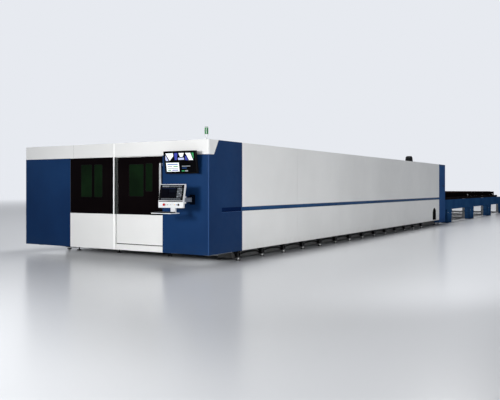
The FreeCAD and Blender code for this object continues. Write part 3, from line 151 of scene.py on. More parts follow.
def shells(name, body, look, stacks, tints=None, shut=True):
    """One piece made of closed shells. A stack is an array (copies, rings, points, 3): each ring is joined
    to the next by four-sided faces all the way round, and a flat face closes each end. With shut False,
    the last ring is joined to the first instead, as on a gasket. Tints gives each copy its colour. Edges
    that turn by more than sharp_angle stay sharp."""
    sharp_angle = 0.6
    corners, starts, places, base = [], [], [], 0
    for stack in stacks:
        stack = np.asarray(stack, float)
        stack = stack.reshape((-1,) + stack.shape[-3:])
        copies, rings, points = stack.shape[:3]
        number = base + np.arange(copies * rings * points).reshape(copies, rings, points)
        ahead = np.roll(number, -1, axis=2)
        low, high = (number[:, :-1], number[:, 1:]) if shut else (number, np.roll(number, -1, axis=1))
        low_ahead = ahead[:, :-1] if shut else ahead
        high_ahead = ahead[:, 1:] if shut else np.roll(ahead, -1, axis=1)
        sides = np.stack((low, low_ahead, high_ahead, high), axis=-1).reshape(-1, 4)
        faces = [sides]
        if shut:
            faces.append(np.concatenate((number[:, 0, ::-1], number[:, -1])))
        for rows in faces:
            begin = sum(len(c) for c in corners)
            starts.append(begin + np.arange(len(rows)) * rows.shape[1])
            corners.append(rows.ravel())
        places.append(stack.reshape(-1, 3))
        base += copies * rings * points
    places, corners, starts = (np.concatenate(part) for part in (places, corners, starts))
    mesh = bpy.data.meshes.new(name)
    mesh.vertices.add(len(places))
    mesh.vertices.foreach_set("co", places.ravel())
    mesh.loops.add(len(corners))
    mesh.loops.foreach_set("vertex_index", corners)
    mesh.polygons.add(len(starts))
    mesh.polygons.foreach_set("loop_start", starts)
    mesh.update(calc_edges=True)
    mesh.shade_smooth()
    mesh.set_sharp_from_angle(angle=sharp_angle)
    if tints is not None:
        colours = np.repeat(np.asarray(tints, float), len(places) // len(tints), axis=0)
        mesh.color_attributes.new("tint", "FLOAT_COLOR", "POINT").data.foreach_set("color", colours.ravel())
    mesh.materials.append(look)
    piece = placed(name, mesh)
    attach(piece, body)
    return piece


def carried(path, outline, up):
    """An outline carried along a path: at each path point p with tangent t, side s = t x up, and a point
    (a, b) of the outline goes to p + a s + b up."""
    path, outline, up = (np.asarray(v, float) for v in (path, outline, up))
    closed = np.allclose(path[0], path[-1])
    if closed:
        path = path[:-1]
        tangent = np.roll(path, -1, axis=0) - np.roll(path, 1, axis=0)
    else:
        tangent = np.gradient(path, axis=0)
    side = np.cross(tangent, up)
    side /= np.linalg.norm(side, axis=1, keepdims=True)
    return path[:, None] + outline[None, :, :1] * side[:, None] + outline[None, :, 1:] * up


def both_sides(stack):
    """The shells, and the same on the other side: x changes sign and every ring turns round."""
    return [stack, (np.asarray(stack) * (-1.0, 1.0, 1.0))[..., ::-1, :]]


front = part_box("header")[0].y
beam_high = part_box("bed_side_beams")[1]
bed_black = finish("bed_black", (82, 83, 83), (66, 67, 67), 0.62, grain=260, depth=0.0002, gloss=0.15,
                   low_colour=(60, 58, 55))
dress(bed_black, "bed_side_beams")
frame_grey = finish("frame_grey", (160, 162, 164), (142, 144, 146), 0.6, grain=260, gloss=0.1)
dress(frame_grey, "bed_cross_frame")

foot_first, foot_pitch, foot_count = 1.27, 1.015, 14
arch_clear, arch_spring, arch_rise, arch_fullness = 0.075, 0.078, 0.075, 0.8
arch_section = np.array([(-0.016, 0.0), (0.016, 0.0), (0.016, 0.014), (-0.016, 0.014)])
bends = np.linspace(0.0, math.pi, 17)
reach = foot_pitch / 2.0 - arch_clear
arches = []
for k in range(foot_count - 1):
    middle = front + foot_first + (k + 0.5) * foot_pitch
    line = np.stack((np.full_like(bends, beam_high.x), middle - reach * np.cos(bends),
                     arch_spring + arch_rise * np.sin(bends) ** arch_fullness), axis=-1)
    arches.append(carried(line, arch_section, (1.0, 0.0, 0.0)))
arches = np.array(arches)
# The black of the arch strips is painted shade. The bracket heads below are painted with the same black.
bracket_black_and_arch_shade = finish("bracket_black_and_arch_shade", (7, 7, 8), (4, 4, 5), 0.6, grain=300, gloss=0.05)
shells("bed_arch_shade_strips", "machine", bracket_black_and_arch_shade, both_sides(arches))
head_half = np.array([(0.062, 0.080), (0.072, 0.128), (0.125, 0.160), (0.125, 0.222)])
head_outline = np.concatenate((head_half, head_half[::-1] * (-1.0, 1.0)))
head_sink, head_plate = 0.0005, 0.012
head_stations = beam_high.x + np.array((-head_sink, head_plate))
heads = np.empty((foot_count, 2, len(head_outline), 3))
heads[..., 0] = head_stations[:, None]
heads[..., 1] = (front + foot_first + foot_pitch * np.arange(foot_count))[:, None, None] + head_outline[:, 0]
heads[..., 2] = head_outline[:, 1]
shells("bed_bracket_heads", "machine", bracket_black_and_arch_shade, both_sides(heads))

# ----- levelling feet
# Blackened screw feet in welded brackets, each with a zinc-plated lock sleeve turned down on its stem.
# The sleeves' near-white colour is a painted glint.

foot_zinc = finish("foot_zinc", (30, 30, 31), (16, 16, 17), 0.4, drift=0.06, metal=0.4, grain=900,
                   low_colour=(52, 50, 47), low_top=0.1)
dress(foot_zinc, "levelling_feet")


def spun(profile, centre, axis=2, points=24):
    """A profile of (station, radius) pairs turned about an axis: the point at angle t is the centre plus
    the station along the axis plus radius (cos t, sin t) across it. Many centres make many copies."""
    station, radius = np.asarray(profile, float).T
    angle = np.linspace(0.0, 2.0 * math.pi, points, endpoint=False)
    ring = np.zeros((len(station), points, 3))
    ring[..., axis] = station[:, None]
    ring[..., (axis + 1) % 3] = radius[:, None] * np.cos(angle)
    ring[..., (axis + 2) % 3] = radius[:, None] * np.sin(angle)
    return np.atleast_2d(np.asarray(centre, float))[:, None, None] + ring


lock_ring = [(0.0, 0.024), (0.0, 0.026), (0.003, 0.028), (0.012, 0.028), (0.015, 0.018), (0.038, 0.018),
             (0.040, 0.015)]
stem_out, ring_height = 0.046, 0.019
stem_x = beam_high.x + stem_out
spots = np.array([(stem_x, front + foot_first + k * foot_pitch, ring_height) for k in range(foot_count)])
rings = spun(lock_ring, spots, points=16)
# Near-white zinc for small bright parts. On the lock sleeves of the feet this light colour is a painted
# glint.
zinc_and_glint = finish("zinc_and_glint", (228, 228, 226), (196, 196, 194), 0.3, drift=0.03, metal=0.35,
                     grain=900)
shells("foot_lock_ring_glints", "machine", zinc_and_glint, both_sides(rings))

# ----- guide rails and racks
# Ground steel rails, bright on their running faces, are bolted down on the beams with racks beside them.
# Black plastic plugs close the holes over the bolts.

rail_steel = finish("rail_steel", (196, 198, 200), (160, 162, 164), 0.24, drift=0.3, metal=1.0,
                    stretch=(40, 1, 40), grain=60, depth=0.00003)
dress(rail_steel, "gantry_rails")


def bars(low, high, edge, axis=2):
    """Straight bars between corner points low and high. Across the axis the outline is a rectangle whose
    corners are cut off by edge; along it the outline draws in by edge at both ends."""
    low, high = np.atleast_2d(np.asarray(low, float)), np.atleast_2d(np.asarray(high, float))
    low, high = np.broadcast_arrays(low, high)
    u, v = (axis + 1) % 3, (axis + 2) % 3
    middle, half = (low + high) / 2.0, (high - low) / 2.0
    inset = np.array((edge, 0.0, 0.0, edge))
    along = np.stack((-half[:, axis], -half[:, axis] + edge, half[:, axis] - edge, half[:, axis]), axis=1)
    sign_u = np.array((1, 1, 1, -1, -1, -1, -1, 1.0))
    sign_v = np.array((-1, 1, 1, 1, 1, -1, -1, -1.0))
    cut_u = np.array((0, 0, 1, 1, 0, 0, 1, 1.0))
    ring = np.empty((len(low), 4, 8, 3))
    wide = half[:, None, None] - inset[None, :, None, None]
    ring[..., u] = middle[:, u, None, None] + sign_u * (wide[..., u] - edge * cut_u)
    ring[..., v] = middle[:, v, None, None] + sign_v * (wide[..., v] - edge * (1.0 - cut_u))
    ring[..., axis] = middle[:, axis, None, None] + along[:, :, None]
    return ring


rail_low, rail_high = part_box("gantry_rails")
bolt_pitch, bolt_inset, bolt_line_inset = 0.24, 0.12, 0.0825
rail_middle = rail_high.x - bolt_line_inset
bolt_line = np.arange(rail_low.y + bolt_inset, rail_high.y - bolt_inset, bolt_pitch)
plug = [(0.0, 0.0075), (0.0004, 0.0075), (0.0007, 0.0066), (0.0007, 0.004)]
plugs = spun(plug, [(rail_middle, y, rail_high.z) for y in bolt_line], points=12)
plug_black = finish("plug_black", (48, 48, 50), (34, 34, 36), 0.5, drift=0.05, grain=900)
shells("rail_bolt_plugs", "machine", plug_black, both_sides(plugs))

# ----- pallet rails and scrap chute
# Rolled steel angle rails run along the beams and are worn bright by the rollers. Between them lie steel
# chute sheets, browned by sparks and slag.

track_steel = finish("track_steel", (150, 150, 150), (104, 98, 92), 0.42, drift=0.4, metal=0.8,
                     stretch=(20, 1, 20), grain=60, depth=0.0002)
dress(track_steel, "pallet_rails")
chute_steel = finish("chute_steel", (122, 118, 112), (84, 76, 70), 0.55, drift=0.25, metal=0.6,
                     grain=180, depth=0.0004, low_colour=(92, 66, 48), low_top=0.8)
dress(chute_steel, "scrap_chute")

# ----- cabinets
# Two grey powder-coated sheet steel cabinets stand inside the cabin. Each door leaf is folded sheet, with
# a black lever and three hinges.

cabinet_grey = finish("cabinet_grey", (188, 190, 190), (176, 178, 179), 0.45, grain=500)
dress(cabinet_grey, "laser_source_cabinet", "electrical_cabinet")
door_gap, door_rise, door_play, plinth = 0.03, 0.012, 0.002, 0.1
lever_width, lever_rise, lever_foot, lever_top = 0.03, 0.03, 1.0, 1.16
lever_from_right, lever_from_left = 0.07, 0.04
hinge_half, hinge_from_left, hinge_from_right = 0.009, 0.004, 0.022
hinge_heights, one_leaf_limit = (0.5, 1.1, 1.65), 1.1
doors, levers, hinges = [], [], []
for name in ("laser_source_cabinet", "electrical_cabinet"):
    low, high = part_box(name)
    leaves = 2 if high.x - low.x > one_leaf_limit else 1
    width = (high.x - low.x - 2.0 * door_gap) / leaves
    for k in range(leaves):
        left = low.x + door_gap + k * width
        doors.append(((left + door_play, high.y, low.z + plinth),
                      (left + width - door_play, high.y + door_rise, high.z - door_gap)))
        hand = left + (width - lever_from_right if k == 0 else lever_from_left)
        levers.append(((hand, high.y + door_rise, lever_foot),
                       (hand + lever_width, high.y + lever_rise, lever_top)))
        side = left + (hinge_from_left if k == 0 else width - hinge_from_right)
        hinges += [(side + hinge_half, high.y + door_rise, z) for z in hinge_heights]
shells("cabinet_doors", "machine", cabinet_grey, [bars(*zip(*doors), 0.004)])
shells("cabinet_levers", "machine", plug_black, [bars(*zip(*levers), 0.006)])
shells("cabinet_hinges", "machine", zinc_and_glint,
       [spun([(0.0, 0.006), (0.001, 0.007), (0.059, 0.007), (0.06, 0.006)], hinges, points=12)])

# ----- cabin shells
# Folded sheet with a fine textured dark blue powder coat. The bend at each front corner is rounded, and a
# lighter blue strip on it is a painted highlight. In each side channel a dark blue sheet is painted shade,
# and a lighter blue strip along its lower lip is a painted highlight.

blue_paint = finish("blue_paint", (18, 51, 92), (13, 43, 82), 0.42, drift=1.4, grain=700, depth=0.00008,
                    gloss=0.05, low_colour=(30, 50, 80), low_top=0.5)
dress(blue_paint, "left_cabin_shell", "right_cabin_shell")
shell_low, shell_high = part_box("right_cabin_shell")
corner_round, highlight_rise, highlight_sink, highlight_end, highlight_half = 0.04, 0.0012, 0.004, 0.004, math.radians(11.0)
turn = np.linspace(-math.pi / 4 - highlight_half, -math.pi / 4 + highlight_half, 7)
arc = np.stack((np.cos(turn), np.sin(turn)), axis=-1)
outline = np.concatenate(((corner_round + highlight_rise) * arc, (corner_round - highlight_sink) * arc[::-1]))
levels = np.linspace(shell_low.z + highlight_end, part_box("header")[0].z - highlight_end, 5)
highlight_strip = np.empty((len(levels), len(outline), 3))
highlight_strip[..., 0] = shell_high.x - corner_round + outline[:, 0]
highlight_strip[..., 1] = front + corner_round + outline[:, 1]
highlight_strip[..., 2] = levels[:, None]
# The lighter blue strip along the rounded corner is a painted highlight.
highlight_blue = finish("highlight_blue", (50, 82, 130), (42, 74, 120), 0.35, drift=0.5, grain=700, gloss=0.1)
shells("corner_highlight_strips", "machine", highlight_blue, both_sides(highlight_strip))
channel_foot, channel_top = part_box("side_stripes")[0].z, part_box("side_stripes")[1].z
channel_setback, channel_depth, channel_gap = 0.46, 0.025, 0.0005
cover_rise, cover_sink, cover_edge = 0.0012, 0.001, 0.0004
channel_start, channel_end = front + channel_setback, shell_high.y
# A dark blue sheet laid in the channel's recess is painted shade.
channel_shade = bars((shell_high.x - channel_depth - channel_gap, channel_start + channel_gap, channel_foot + channel_gap),
             (shell_high.x - channel_depth + cover_rise, channel_end - channel_gap, channel_top - channel_gap),
             cover_edge)
channel_shade_blue = finish("channel_shade_blue", (13, 32, 70), (9, 26, 60), 0.5, drift=0.9, grain=700, gloss=0.0)
shells("side_channel_shade", "machine", channel_shade_blue, both_sides(channel_shade))
# A lighter blue strip along the channel's lower lip is a painted highlight.
lip_sink, lip_height = 0.002, 0.007
lip = bars((shell_high.x - lip_sink, channel_start, channel_foot - lip_height),
           (shell_high.x + cover_rise, channel_end - lip_sink, channel_foot - channel_gap), cover_edge)
shells("side_channel_lip_highlights", "machine", highlight_blue, both_sides(lip))

# ----- header
# The white head box closes the front above the leaves. It is folded from two sheets of steel, powder
# coated, with a fine joint between them.

white_paint = finish("white_paint", (229, 229, 227), (222, 222, 220), 0.42, drift=1.8, grain=700,
                     depth=0.00008, gloss=0.15)
dress(white_paint, "header", "fixed_leaf", "door_panel")
header_low, header_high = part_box("header")
joint_place, joint_half, joint_rise, joint_sink, joint_edge = -1.047, 0.0015, 0.0006, 0.002, 0.0002
joint = bars((joint_place - joint_half, front - joint_rise, header_low.z + joint_sink),
             (joint_place + joint_half, front + joint_sink, header_high.z - joint_sink), joint_edge)
joint_grey = finish("joint_grey", (120, 120, 120), (96, 96, 96), 0.7, drift=0.2, grain=900)
shells("header_joints", "machine", joint_grey, [joint])

# ----- centre post and door track
# White painted steel: the post between the leaves, the top track and the sill. The post and a strip on the
# header above it are a brighter white, a painted highlight. Dark rubber runs along the post and the fixed
# leaf's edge, and the door's bar handle is satin metal.

# The post and the strip above it on the header are a brighter white than the walls: painted highlight.
post_highlight_white = finish("post_highlight_white", (246, 246, 244), (240, 240, 238), 0.3, drift=0.6, gloss=0.3,
                    stretch=(60, 60, 1), grain=40, depth=0.00003)
dress(post_highlight_white, "centre_post")
dress(white_paint, "door_tracks")
post_low, post_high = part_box("centre_post")
strip_setback, strip_head, strip_edge = 0.022, 0.004, 0.0005
shells("post_highlight_strip", "machine", post_highlight_white,
       [bars((post_low.x, front - cover_rise, header_low.z + cover_sink),
             (post_high.x - strip_setback, front + cover_sink, header_high.z - strip_head), strip_edge)])
post_rubber = finish("post_rubber", (76, 80, 78), (68, 72, 70), 0.6, drift=0.3, grain=900, gloss=0.1)
seal_foot, seal_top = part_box("fixed_leaf_glazing")[0].z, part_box("fixed_leaf_glazing")[1].z
seal_width, seal_back = 0.024, 0.003
shells("post_seal", "machine", post_rubber,
       [bars((post_high.x - seal_width, post_low.y - cover_rise, seal_foot),
             (post_high.x + cover_rise, post_high.y - seal_back, seal_top), strip_edge)])
leaf_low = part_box("fixed_leaf")[0]
edge_play, edge_cover, edge_sheet = 0.0002, 0.0068, 0.001
shells("leaf_edge_cover", "machine", post_rubber,
       [bars((leaf_low.x + edge_play, leaf_low.y - edge_sheet, seal_foot),
             (leaf_low.x + edge_cover, leaf_low.y + edge_sheet, seal_top), cover_edge)])
handle_satin = finish("handle_satin", (196, 197, 197), (178, 179, 180), 0.3, drift=0.08, metal=0.5,
                      stretch=(60, 60, 1), grain=60, depth=0.00003)
dress(handle_satin, "door_handle")

# ----- leaves: glazing and laser windows
# Dark tinted safety glazing, and two green laser windows in rubber frames on each leaf. The door has a seal
# along its lower edge and two handle screws. A grey strip on its stile is painted shade, and a grey line in
# its foot panel is the painted shade of a crease.

dark_glazing = finish("dark_glazing", (9, 5, 6), (5, 2, 3), 0.12, drift=0.8, grain=4, depth=0.0001,
                      gloss=0.015)
dress(dark_glazing, "fixed_leaf_glazing", "door_glazing")
green_glass = finish("green_glass", (14, 32, 15), (9, 22, 10), 0.12, drift=0.5, grain=4, depth=0.0001,
                     gloss=0.015)
dress(green_glass, "fixed_leaf_windows", "door_windows")


def round_loop(left, foot, right, top, radius, y):
    """A closed rounded rectangle upright in the XZ plane: each corner's centre plus radius (cos t, sin t)."""
    t = np.linspace(0.0, math.pi / 2.0, 6)
    centres = [(right - radius, top - radius), (left + radius, top - radius), (left + radius, foot + radius),
               (right - radius, foot + radius)]
    parts = [np.stack((x + radius * np.cos(t + k * math.pi / 2.0), np.full_like(t, y),
                       z + radius * np.sin(t + k * math.pi / 2.0)), axis=-1)
             for k, (x, z) in enumerate(centres)]
    loop = np.concatenate(parts)
    return np.concatenate((loop, loop[:1]))


seal_lip = np.array([(-0.005, -0.001), (0.005, -0.001), (0.005, 0.0015), (0.003, 0.0032), (-0.003, 0.0032),
                     (-0.005, 0.0015)])
toward = (0.0, -1.0, 0.0)
leaf_panes = [(-0.811, 1.344, -0.480, 2.052), (-0.411, 1.344, -0.169, 2.052)]
door_panes = [(0.572, 1.367, 0.972, 2.040), (1.026, 1.472, 1.208, 2.053)]
pane_round = 0.03
seal_rubber = finish("seal_rubber", (11, 12, 11), (7, 8, 7), 0.6, drift=0.1, grain=1200, gloss=0.05)
for name, body, panes, face in (("leaf_window_seals", "machine", leaf_panes, front),
                                ("door_window_seals", "door", door_panes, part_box("door_windows")[0].y)):
    frames = np.array([carried(round_loop(*pane, pane_round, face), seal_lip, toward) for pane in panes])
    shells(name, body, seal_rubber, [frames], shut=False)

door_low, door_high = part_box("door_panel")
glazing_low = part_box("door_glazing")[0]
door_face = glazing_low.y
# The grey strip on the door's stile is painted shade.
stile_shade_grey = finish("stile_shade_grey", (54, 57, 55), (47, 50, 48), 0.6, drift=0.4, grain=700, gloss=0.1)
stile_lap, stile_gap, stile_head = 0.0003, 0.001, 0.006
shells("door_stile_shade", "door", stile_shade_grey,
       [bars((door_low.x - stile_lap, door_face - cover_rise, glazing_low.z),
             (glazing_low.x - stile_gap, door_face + cover_sink, door_high.z - stile_head), strip_edge)])
# The grey line in the door's foot panel is the painted shade of a crease.
crease_shade_grey = finish("crease_shade_grey", (206, 206, 205), (194, 194, 193), 0.5, drift=0.3, grain=700)
crease_left, crease_right, crease_end = 0.03, 0.034, 0.01
shells("door_panel_crease_shade", "door", crease_shade_grey,
       [bars((door_low.x + crease_left, door_face - joint_rise, door_low.z + crease_end),
             (door_low.x + crease_right, door_face + cover_sink, glazing_low.z - crease_end), joint_edge)])
seal_inset, seal_rise, seal_height = 0.006, 0.0015, 0.017
foot_seal = bars((door_low.x + seal_inset, door_face - seal_rise, door_low.z + cover_sink),
                 (door_high.x - seal_inset, door_face + cover_sink, door_low.z + seal_height), strip_edge)
shells("door_foot_seal", "door", seal_rubber, [foot_seal])
screw = [(0.0, 0.0078), (0.0015, 0.0078), (0.0032, 0.0062), (0.0036, 0.003)]
grip_low, grip_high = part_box("door_handle")
grip_middle, screw_inset = (grip_low.x + grip_high.x) / 2.0, 0.03
grip_screws = spun([(-s, r) for s, r in reversed(screw)],
                   [(grip_middle, grip_low.y, grip_low.z + screw_inset),
                    (grip_middle, grip_low.y, grip_high.z - screw_inset)],
                   axis=1, points=12)
shells("handle_screws", "door", zinc_and_glint, [grip_screws])

# ----- side walls
# White powder-coated modules above and below a recessed blue channel, screwed on from inside and dusty
# near the floor.

stripe_paint = finish("stripe_paint", (26, 67, 110), (20, 59, 100), 0.45, drift=1.4, grain=700,
                      depth=0.00008, gloss=0.05)
dress(stripe_paint, "side_stripes")
wall_white = finish("wall_white", (229, 229, 227), (222, 222, 220), 0.42, drift=1.8, grain=700,
                    depth=0.00008, gloss=0.15, low_colour=(196, 192, 184), low_top=0.4)
dress(wall_white, "upper_side_panels", "lower_side_panels")

# ----- extraction duct
# A collar of black painted sheet stands behind the arched opening in each side wall. A thin liner of
# the same sheet is bent round inside it.

duct_black = finish("duct_black", (26, 26, 27), (14, 14, 15), 0.5, drift=0.2, grain=400, gloss=0.15)
dress(duct_black, "duct_collar")
duct_low, duct_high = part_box("duct_collar")
collar_wall, liner_play, liner_sheet, liner_back, liner_depth = 0.012, 0.0004, 0.003, 0.004, 0.064
liner_radius = (duct_high.y - duct_low.y) / 2.0 - collar_wall - liner_play
liner_foot = duct_low.z + collar_wall + liner_play
liner_spring = duct_high.z - collar_wall - liner_play - liner_radius
duct_middle = (duct_low.y + duct_high.y) / 2.0
crown = np.linspace(0.0, math.pi, 25)
loop = np.stack((np.full(len(crown) + 2, duct_high.x - liner_back),
                 duct_middle + np.concatenate((liner_radius * np.cos(crown), (-liner_radius, liner_radius))),
                 np.concatenate((liner_spring + liner_radius * np.sin(crown), (liner_foot, liner_foot)))),
                axis=-1)
loop = np.concatenate((loop, loop[:1]))
liner_section = np.array([(-liner_sheet, 0.0), (0.0, 0.0), (0.0, liner_depth), (-liner_sheet, liner_depth)])
duct_liner = carried(loop, liner_section, (1.0, 0.0, 0.0))
shells("duct_liners", "machine", duct_black, both_sides(duct_liner), shut=False)

# ----- roof
# White roof sheets with a standing rib over each joint, and the black ventilator with louvre rings
# round its neck.

dress(white_paint, "roof_panels")
roof_low, roof_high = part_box("roof_panels")
sheet_count, rib_half, rib_rise, rib_end, rib_edge = 18, 0.02, 0.012, 0.02, 0.004
rib_places = roof_low.y + (roof_high.y - roof_low.y) * (np.arange(1, sheet_count) / sheet_count)
ribs = bars([(roof_low.x + rib_end, y - rib_half, roof_high.z) for y in rib_places],
            [(roof_high.x - rib_end, y + rib_half, roof_high.z + rib_rise) for y in rib_places],
            rib_edge, axis=0)
shells("roof_ribs", "machine", white_paint, [ribs])
vent_black = finish("vent_black", (22, 24, 27), (13, 14, 17), 0.5, drift=0.08, grain=900, gloss=0.15)
dress(vent_black, "roof_vent")
vent_low, vent_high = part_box("roof_vent")
vent_x, vent_y = (vent_low.x + vent_high.x) / 2.0, (vent_low.y + vent_high.y) / 2.0
neck_foot, neck_shoulder, neck_low, neck_high = 0.014, 0.19, 0.140, 0.124
louvre_first, louvre_last, louvre_count = 0.035, 0.165, 6
louvres = []
for height in np.linspace(louvre_first, louvre_last, louvre_count):
    wall = neck_low - (neck_low - neck_high) * (height - neck_foot) / (neck_shoulder - neck_foot)
    louvre = [(0.0, wall - 0.002), (0.002, wall + 0.005), (0.008, wall + 0.005), (0.013, wall - 0.003)]
    louvres.append(spun(louvre, (vent_x, vent_y, vent_low.z + height), points=40))
shells("vent_louvres", "machine", vent_black, [np.concatenate(louvres)])

# ----- gantry
# Grey painted truss beam and carriage on darker end trucks, with cap screws in the outer face of the
# right truck. The slide that carries the head is ground steel.

gantry_grey = finish("gantry_grey", (186, 188, 189), (168, 171, 173), 0.45, drift=0.4, grain=500)
dress(gantry_grey, "gantry_beam", "cross_carriage")
truck_grey = finish("truck_grey", (96, 99, 103), (80, 83, 87), 0.45, drift=0.3, grain=600)
dress(truck_grey, "gantry_trucks")
slide_steel = finish("slide_steel", (178, 180, 182), (150, 152, 155), 0.32, drift=0.15, metal=0.9,
                     stretch=(30, 30, 1), grain=60, depth=0.00003)
dress(slide_steel, "head_slide")
truck_low, truck_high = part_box("gantry_trucks")
cap_screw = [(0.0, 0.009), (0.008, 0.009), (0.009, 0.008), (0.009, 0.0045), (0.004, 0.0045)]
screw_end, screw_foot, screw_head, screw_sink, screw_count = 0.08, 0.09, 0.06, 0.0002, 6
screw_rows = [(truck_high.x, y, z)
              for y in np.linspace(truck_low.y + screw_end, truck_high.y - screw_end, screw_count)
              for z in (truck_low.z + screw_foot, truck_high.z - screw_head)]
screws = spun(cap_screw, screw_rows, axis=0, points=12)
shells("truck_screws", "gantry", plug_black, [screws - (screw_sink, 0.0, 0.0)])

# ----- cutting head
# The head is anodised black and hangs on the slide. Two bright steel clamping rings go round it, and a
# copper nozzle is screwed in below.

head_black = finish("head_black", (44, 45, 48), (32, 33, 36), 0.35, drift=0.05, metal=0.4, grain=1400)
dress(head_black, "cutting_head")
head_low, head_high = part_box("cutting_head")
head_x, head_y, ring_heights = 0.0, (head_low.y + head_high.y) / 2.0, (0.135, 0.43)
collar = [(0.0, 0.0545), (0.003, 0.0562), (0.011, 0.0562), (0.014, 0.0545)]
collars = spun(collar, [(head_x, head_y, head_low.z + h) for h in ring_heights], points=48)
shells("head_rings", "head", slide_steel, [collars])
copper = finish("copper", (196, 118, 78), (160, 88, 56), 0.3, drift=0.02, metal=1.0, grain=2000)
cone = [(0.002, 0.0042), (0.0145, 0.0122), (0.028, 0.0162), (0.028, 0.012)]
shells("nozzle_tip", "head", copper, [spun(cone, (head_x, head_y, head_low.z), points=32)])

# ----- rear portal and gate
# Blue folded sheet round the pallet opening, with a dark line under its cap and a black lock knob on
# each side. The plain gate behind it has the same paint.

# The low colour here only turns the paint a darker blue towards the floor.
portal_blue = finish("portal_blue", (56, 90, 137), (47, 79, 126), 0.6, drift=1.0, grain=700, gloss=0.0,
                     low_colour=(18, 34, 62), low_top=0.35)
dress(portal_blue, "rear_portal", "rear_gate")
portal_low, portal_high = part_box("rear_portal")
cap_drop, cap_height, cap_sink, cap_end = 0.039, 0.012, 0.002, 0.004
cap = bars((portal_high.x - cap_sink, portal_low.y + cap_end, portal_high.z - cap_drop - cap_height),
           (portal_high.x + cover_rise, portal_high.y - cap_end, portal_high.z - cap_drop), cover_edge)
shells("portal_cap_lines", "machine", plug_black, both_sides(cap))
knob = [(0.0, 0.022), (0.006, 0.022), (0.009, 0.012), (0.018, 0.012), (0.022, 0.02), (0.034, 0.02),
        (0.038, 0.016)]
knob_place, knob_height, knob_sink = 17.115, 1.615, 0.0005
knob_spot = (portal_high.x, front + knob_place, knob_height)
knobs = spun(knob, knob_spot, axis=0, points=24) - (knob_sink, 0.0, 0.0)
shells("portal_lock_knobs", "machine", plug_black, both_sides(knobs))

# ----- exchange table
# Blue channel rails on stepped box legs with hexagon bolts in their outer faces, grey cross beams and
# lift columns between them, and the dark lifting rack.

# The low colour here only turns the paint a darker blue towards the floor.
table_blue = finish("table_blue", (40, 76, 116), (31, 64, 104), 0.6, drift=0.9, grain=600, gloss=0.0,
                    low_colour=(14, 28, 50), low_top=0.3)
dress(table_blue, "table_side_rails", "table_legs")
dress(frame_grey, "table_frame")
lift_grey = finish("lift_grey", (38, 34, 34), (28, 25, 26), 0.6, drift=0.3, grain=600, gloss=0.0)
dress(lift_grey, "lift_rack")
leg_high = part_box("table_legs")[1]
leg_first, leg_pitch, leg_length, leg_count = 0.908, 4.262, 0.81, 4
bolt = [(0.0, 0.013), (0.008, 0.013), (0.0095, 0.011), (0.0095, 0.006)]
leg_bolt_inset, leg_bolt_height, leg_bolt_sink = 0.12, 0.44, 0.0005
leg_start = portal_high.y + leg_first
anchor_spots = [(leg_high.x, leg_start + k * leg_pitch + d, leg_bolt_height) for k in range(leg_count)
                for d in (leg_bolt_inset, leg_length - leg_bolt_inset)]
anchors = spun(bolt, anchor_spots, axis=0, points=6) - (leg_bolt_sink, 0.0, 0.0)
shells("leg_bolts", "machine", zinc_and_glint, both_sides(anchors))

# ----- pallets
# Dark painted frames, with thin upright slats whose saw-toothed top edges carry the sheet. The slats
# are browned by the cutting and speckled with slag.

pallet_black = finish("pallet_black", (20, 16, 16), (11, 9, 9), 0.6, drift=0.3, grain=400, gloss=0.0)
dress(pallet_black, "upper_pallet_frame", "lower_pallet_frame")
wheel_steel = finish("wheel_steel", (120, 120, 120), (84, 82, 80), 0.4, drift=0.05, metal=0.8,
                     grain=600)
dress(wheel_steel, *[f"{level}_pallet_wheelset_{n}" for level in ("upper", "lower") for n in (1, 2, 3)])
slat_brown = finish("slat_brown", (58, 42, 35), (22, 17, 16), 0.7, drift=0.12, metal=0.2, grain=260,
                    depth=0.0006, gloss=0.0)
slat_sheet, slat_pitch, tooth_count, tooth_depth = 0.008, 0.1, 22, 0.03
for level in ("upper", "lower"):
    node = f"{level}_pallet_slats"
    low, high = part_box(node)
    places = np.arange(low.y, high.y - slat_sheet / 2.0, slat_pitch)
    x = np.linspace(low.x, high.x, 2 * tooth_count + 1)
    z = np.where(np.arange(len(x)) % 2, high.z, high.z - tooth_depth)
    edge = np.concatenate((((high.x, high.z - tooth_depth),), np.stack((x, z), axis=-1)[-2::-1],
                           ((low.x, low.z), (high.x, low.z))))
    slats = np.empty((len(places), 2, len(edge), 3))
    slats[..., 0] = edge[:, 0]
    slats[..., 2] = edge[:, 1]
    slats[..., 1] = (places[:, None] + np.array((slat_sheet, 0.0)))[:, :, None]
    saw = shells(f"{level}_saw_slats", f"{level}_pallet", slat_brown, [slats])
    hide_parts(node)

# ----- signal lamp
# A green plastic lens on a white pole. A white band goes round it at its foot and at its top, and four
# white ribs run between the bands; their white is a painted highlight on the lens.

white_case = finish("white_case", (222, 224, 225), (212, 214, 216), 0.42, drift=0.2, grain=900)
dress(white_case, "signal_pole")
lamp_green = finish("lamp_green", (36, 118, 62), (22, 92, 46), 0.2, drift=0.05, grain=300, gloss=0.15,
                    glow=0.12)
dress(lamp_green, "signal_lamp")
lamp_low, lamp_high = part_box("signal_lamp")
lamp_x, lamp_y = (lamp_low.x + lamp_high.x) / 2.0, (lamp_low.y + lamp_high.y) / 2.0
band_heights = (0.0, 0.128)
band = [(0.0, 0.0355), (0.002, 0.0372), (0.006, 0.0372), (0.008, 0.0355)]
bands = spun(band, [(lamp_x, lamp_y, lamp_low.z + h) for h in band_heights], points=36)
shells("lamp_bands", "machine", white_case, [bands])
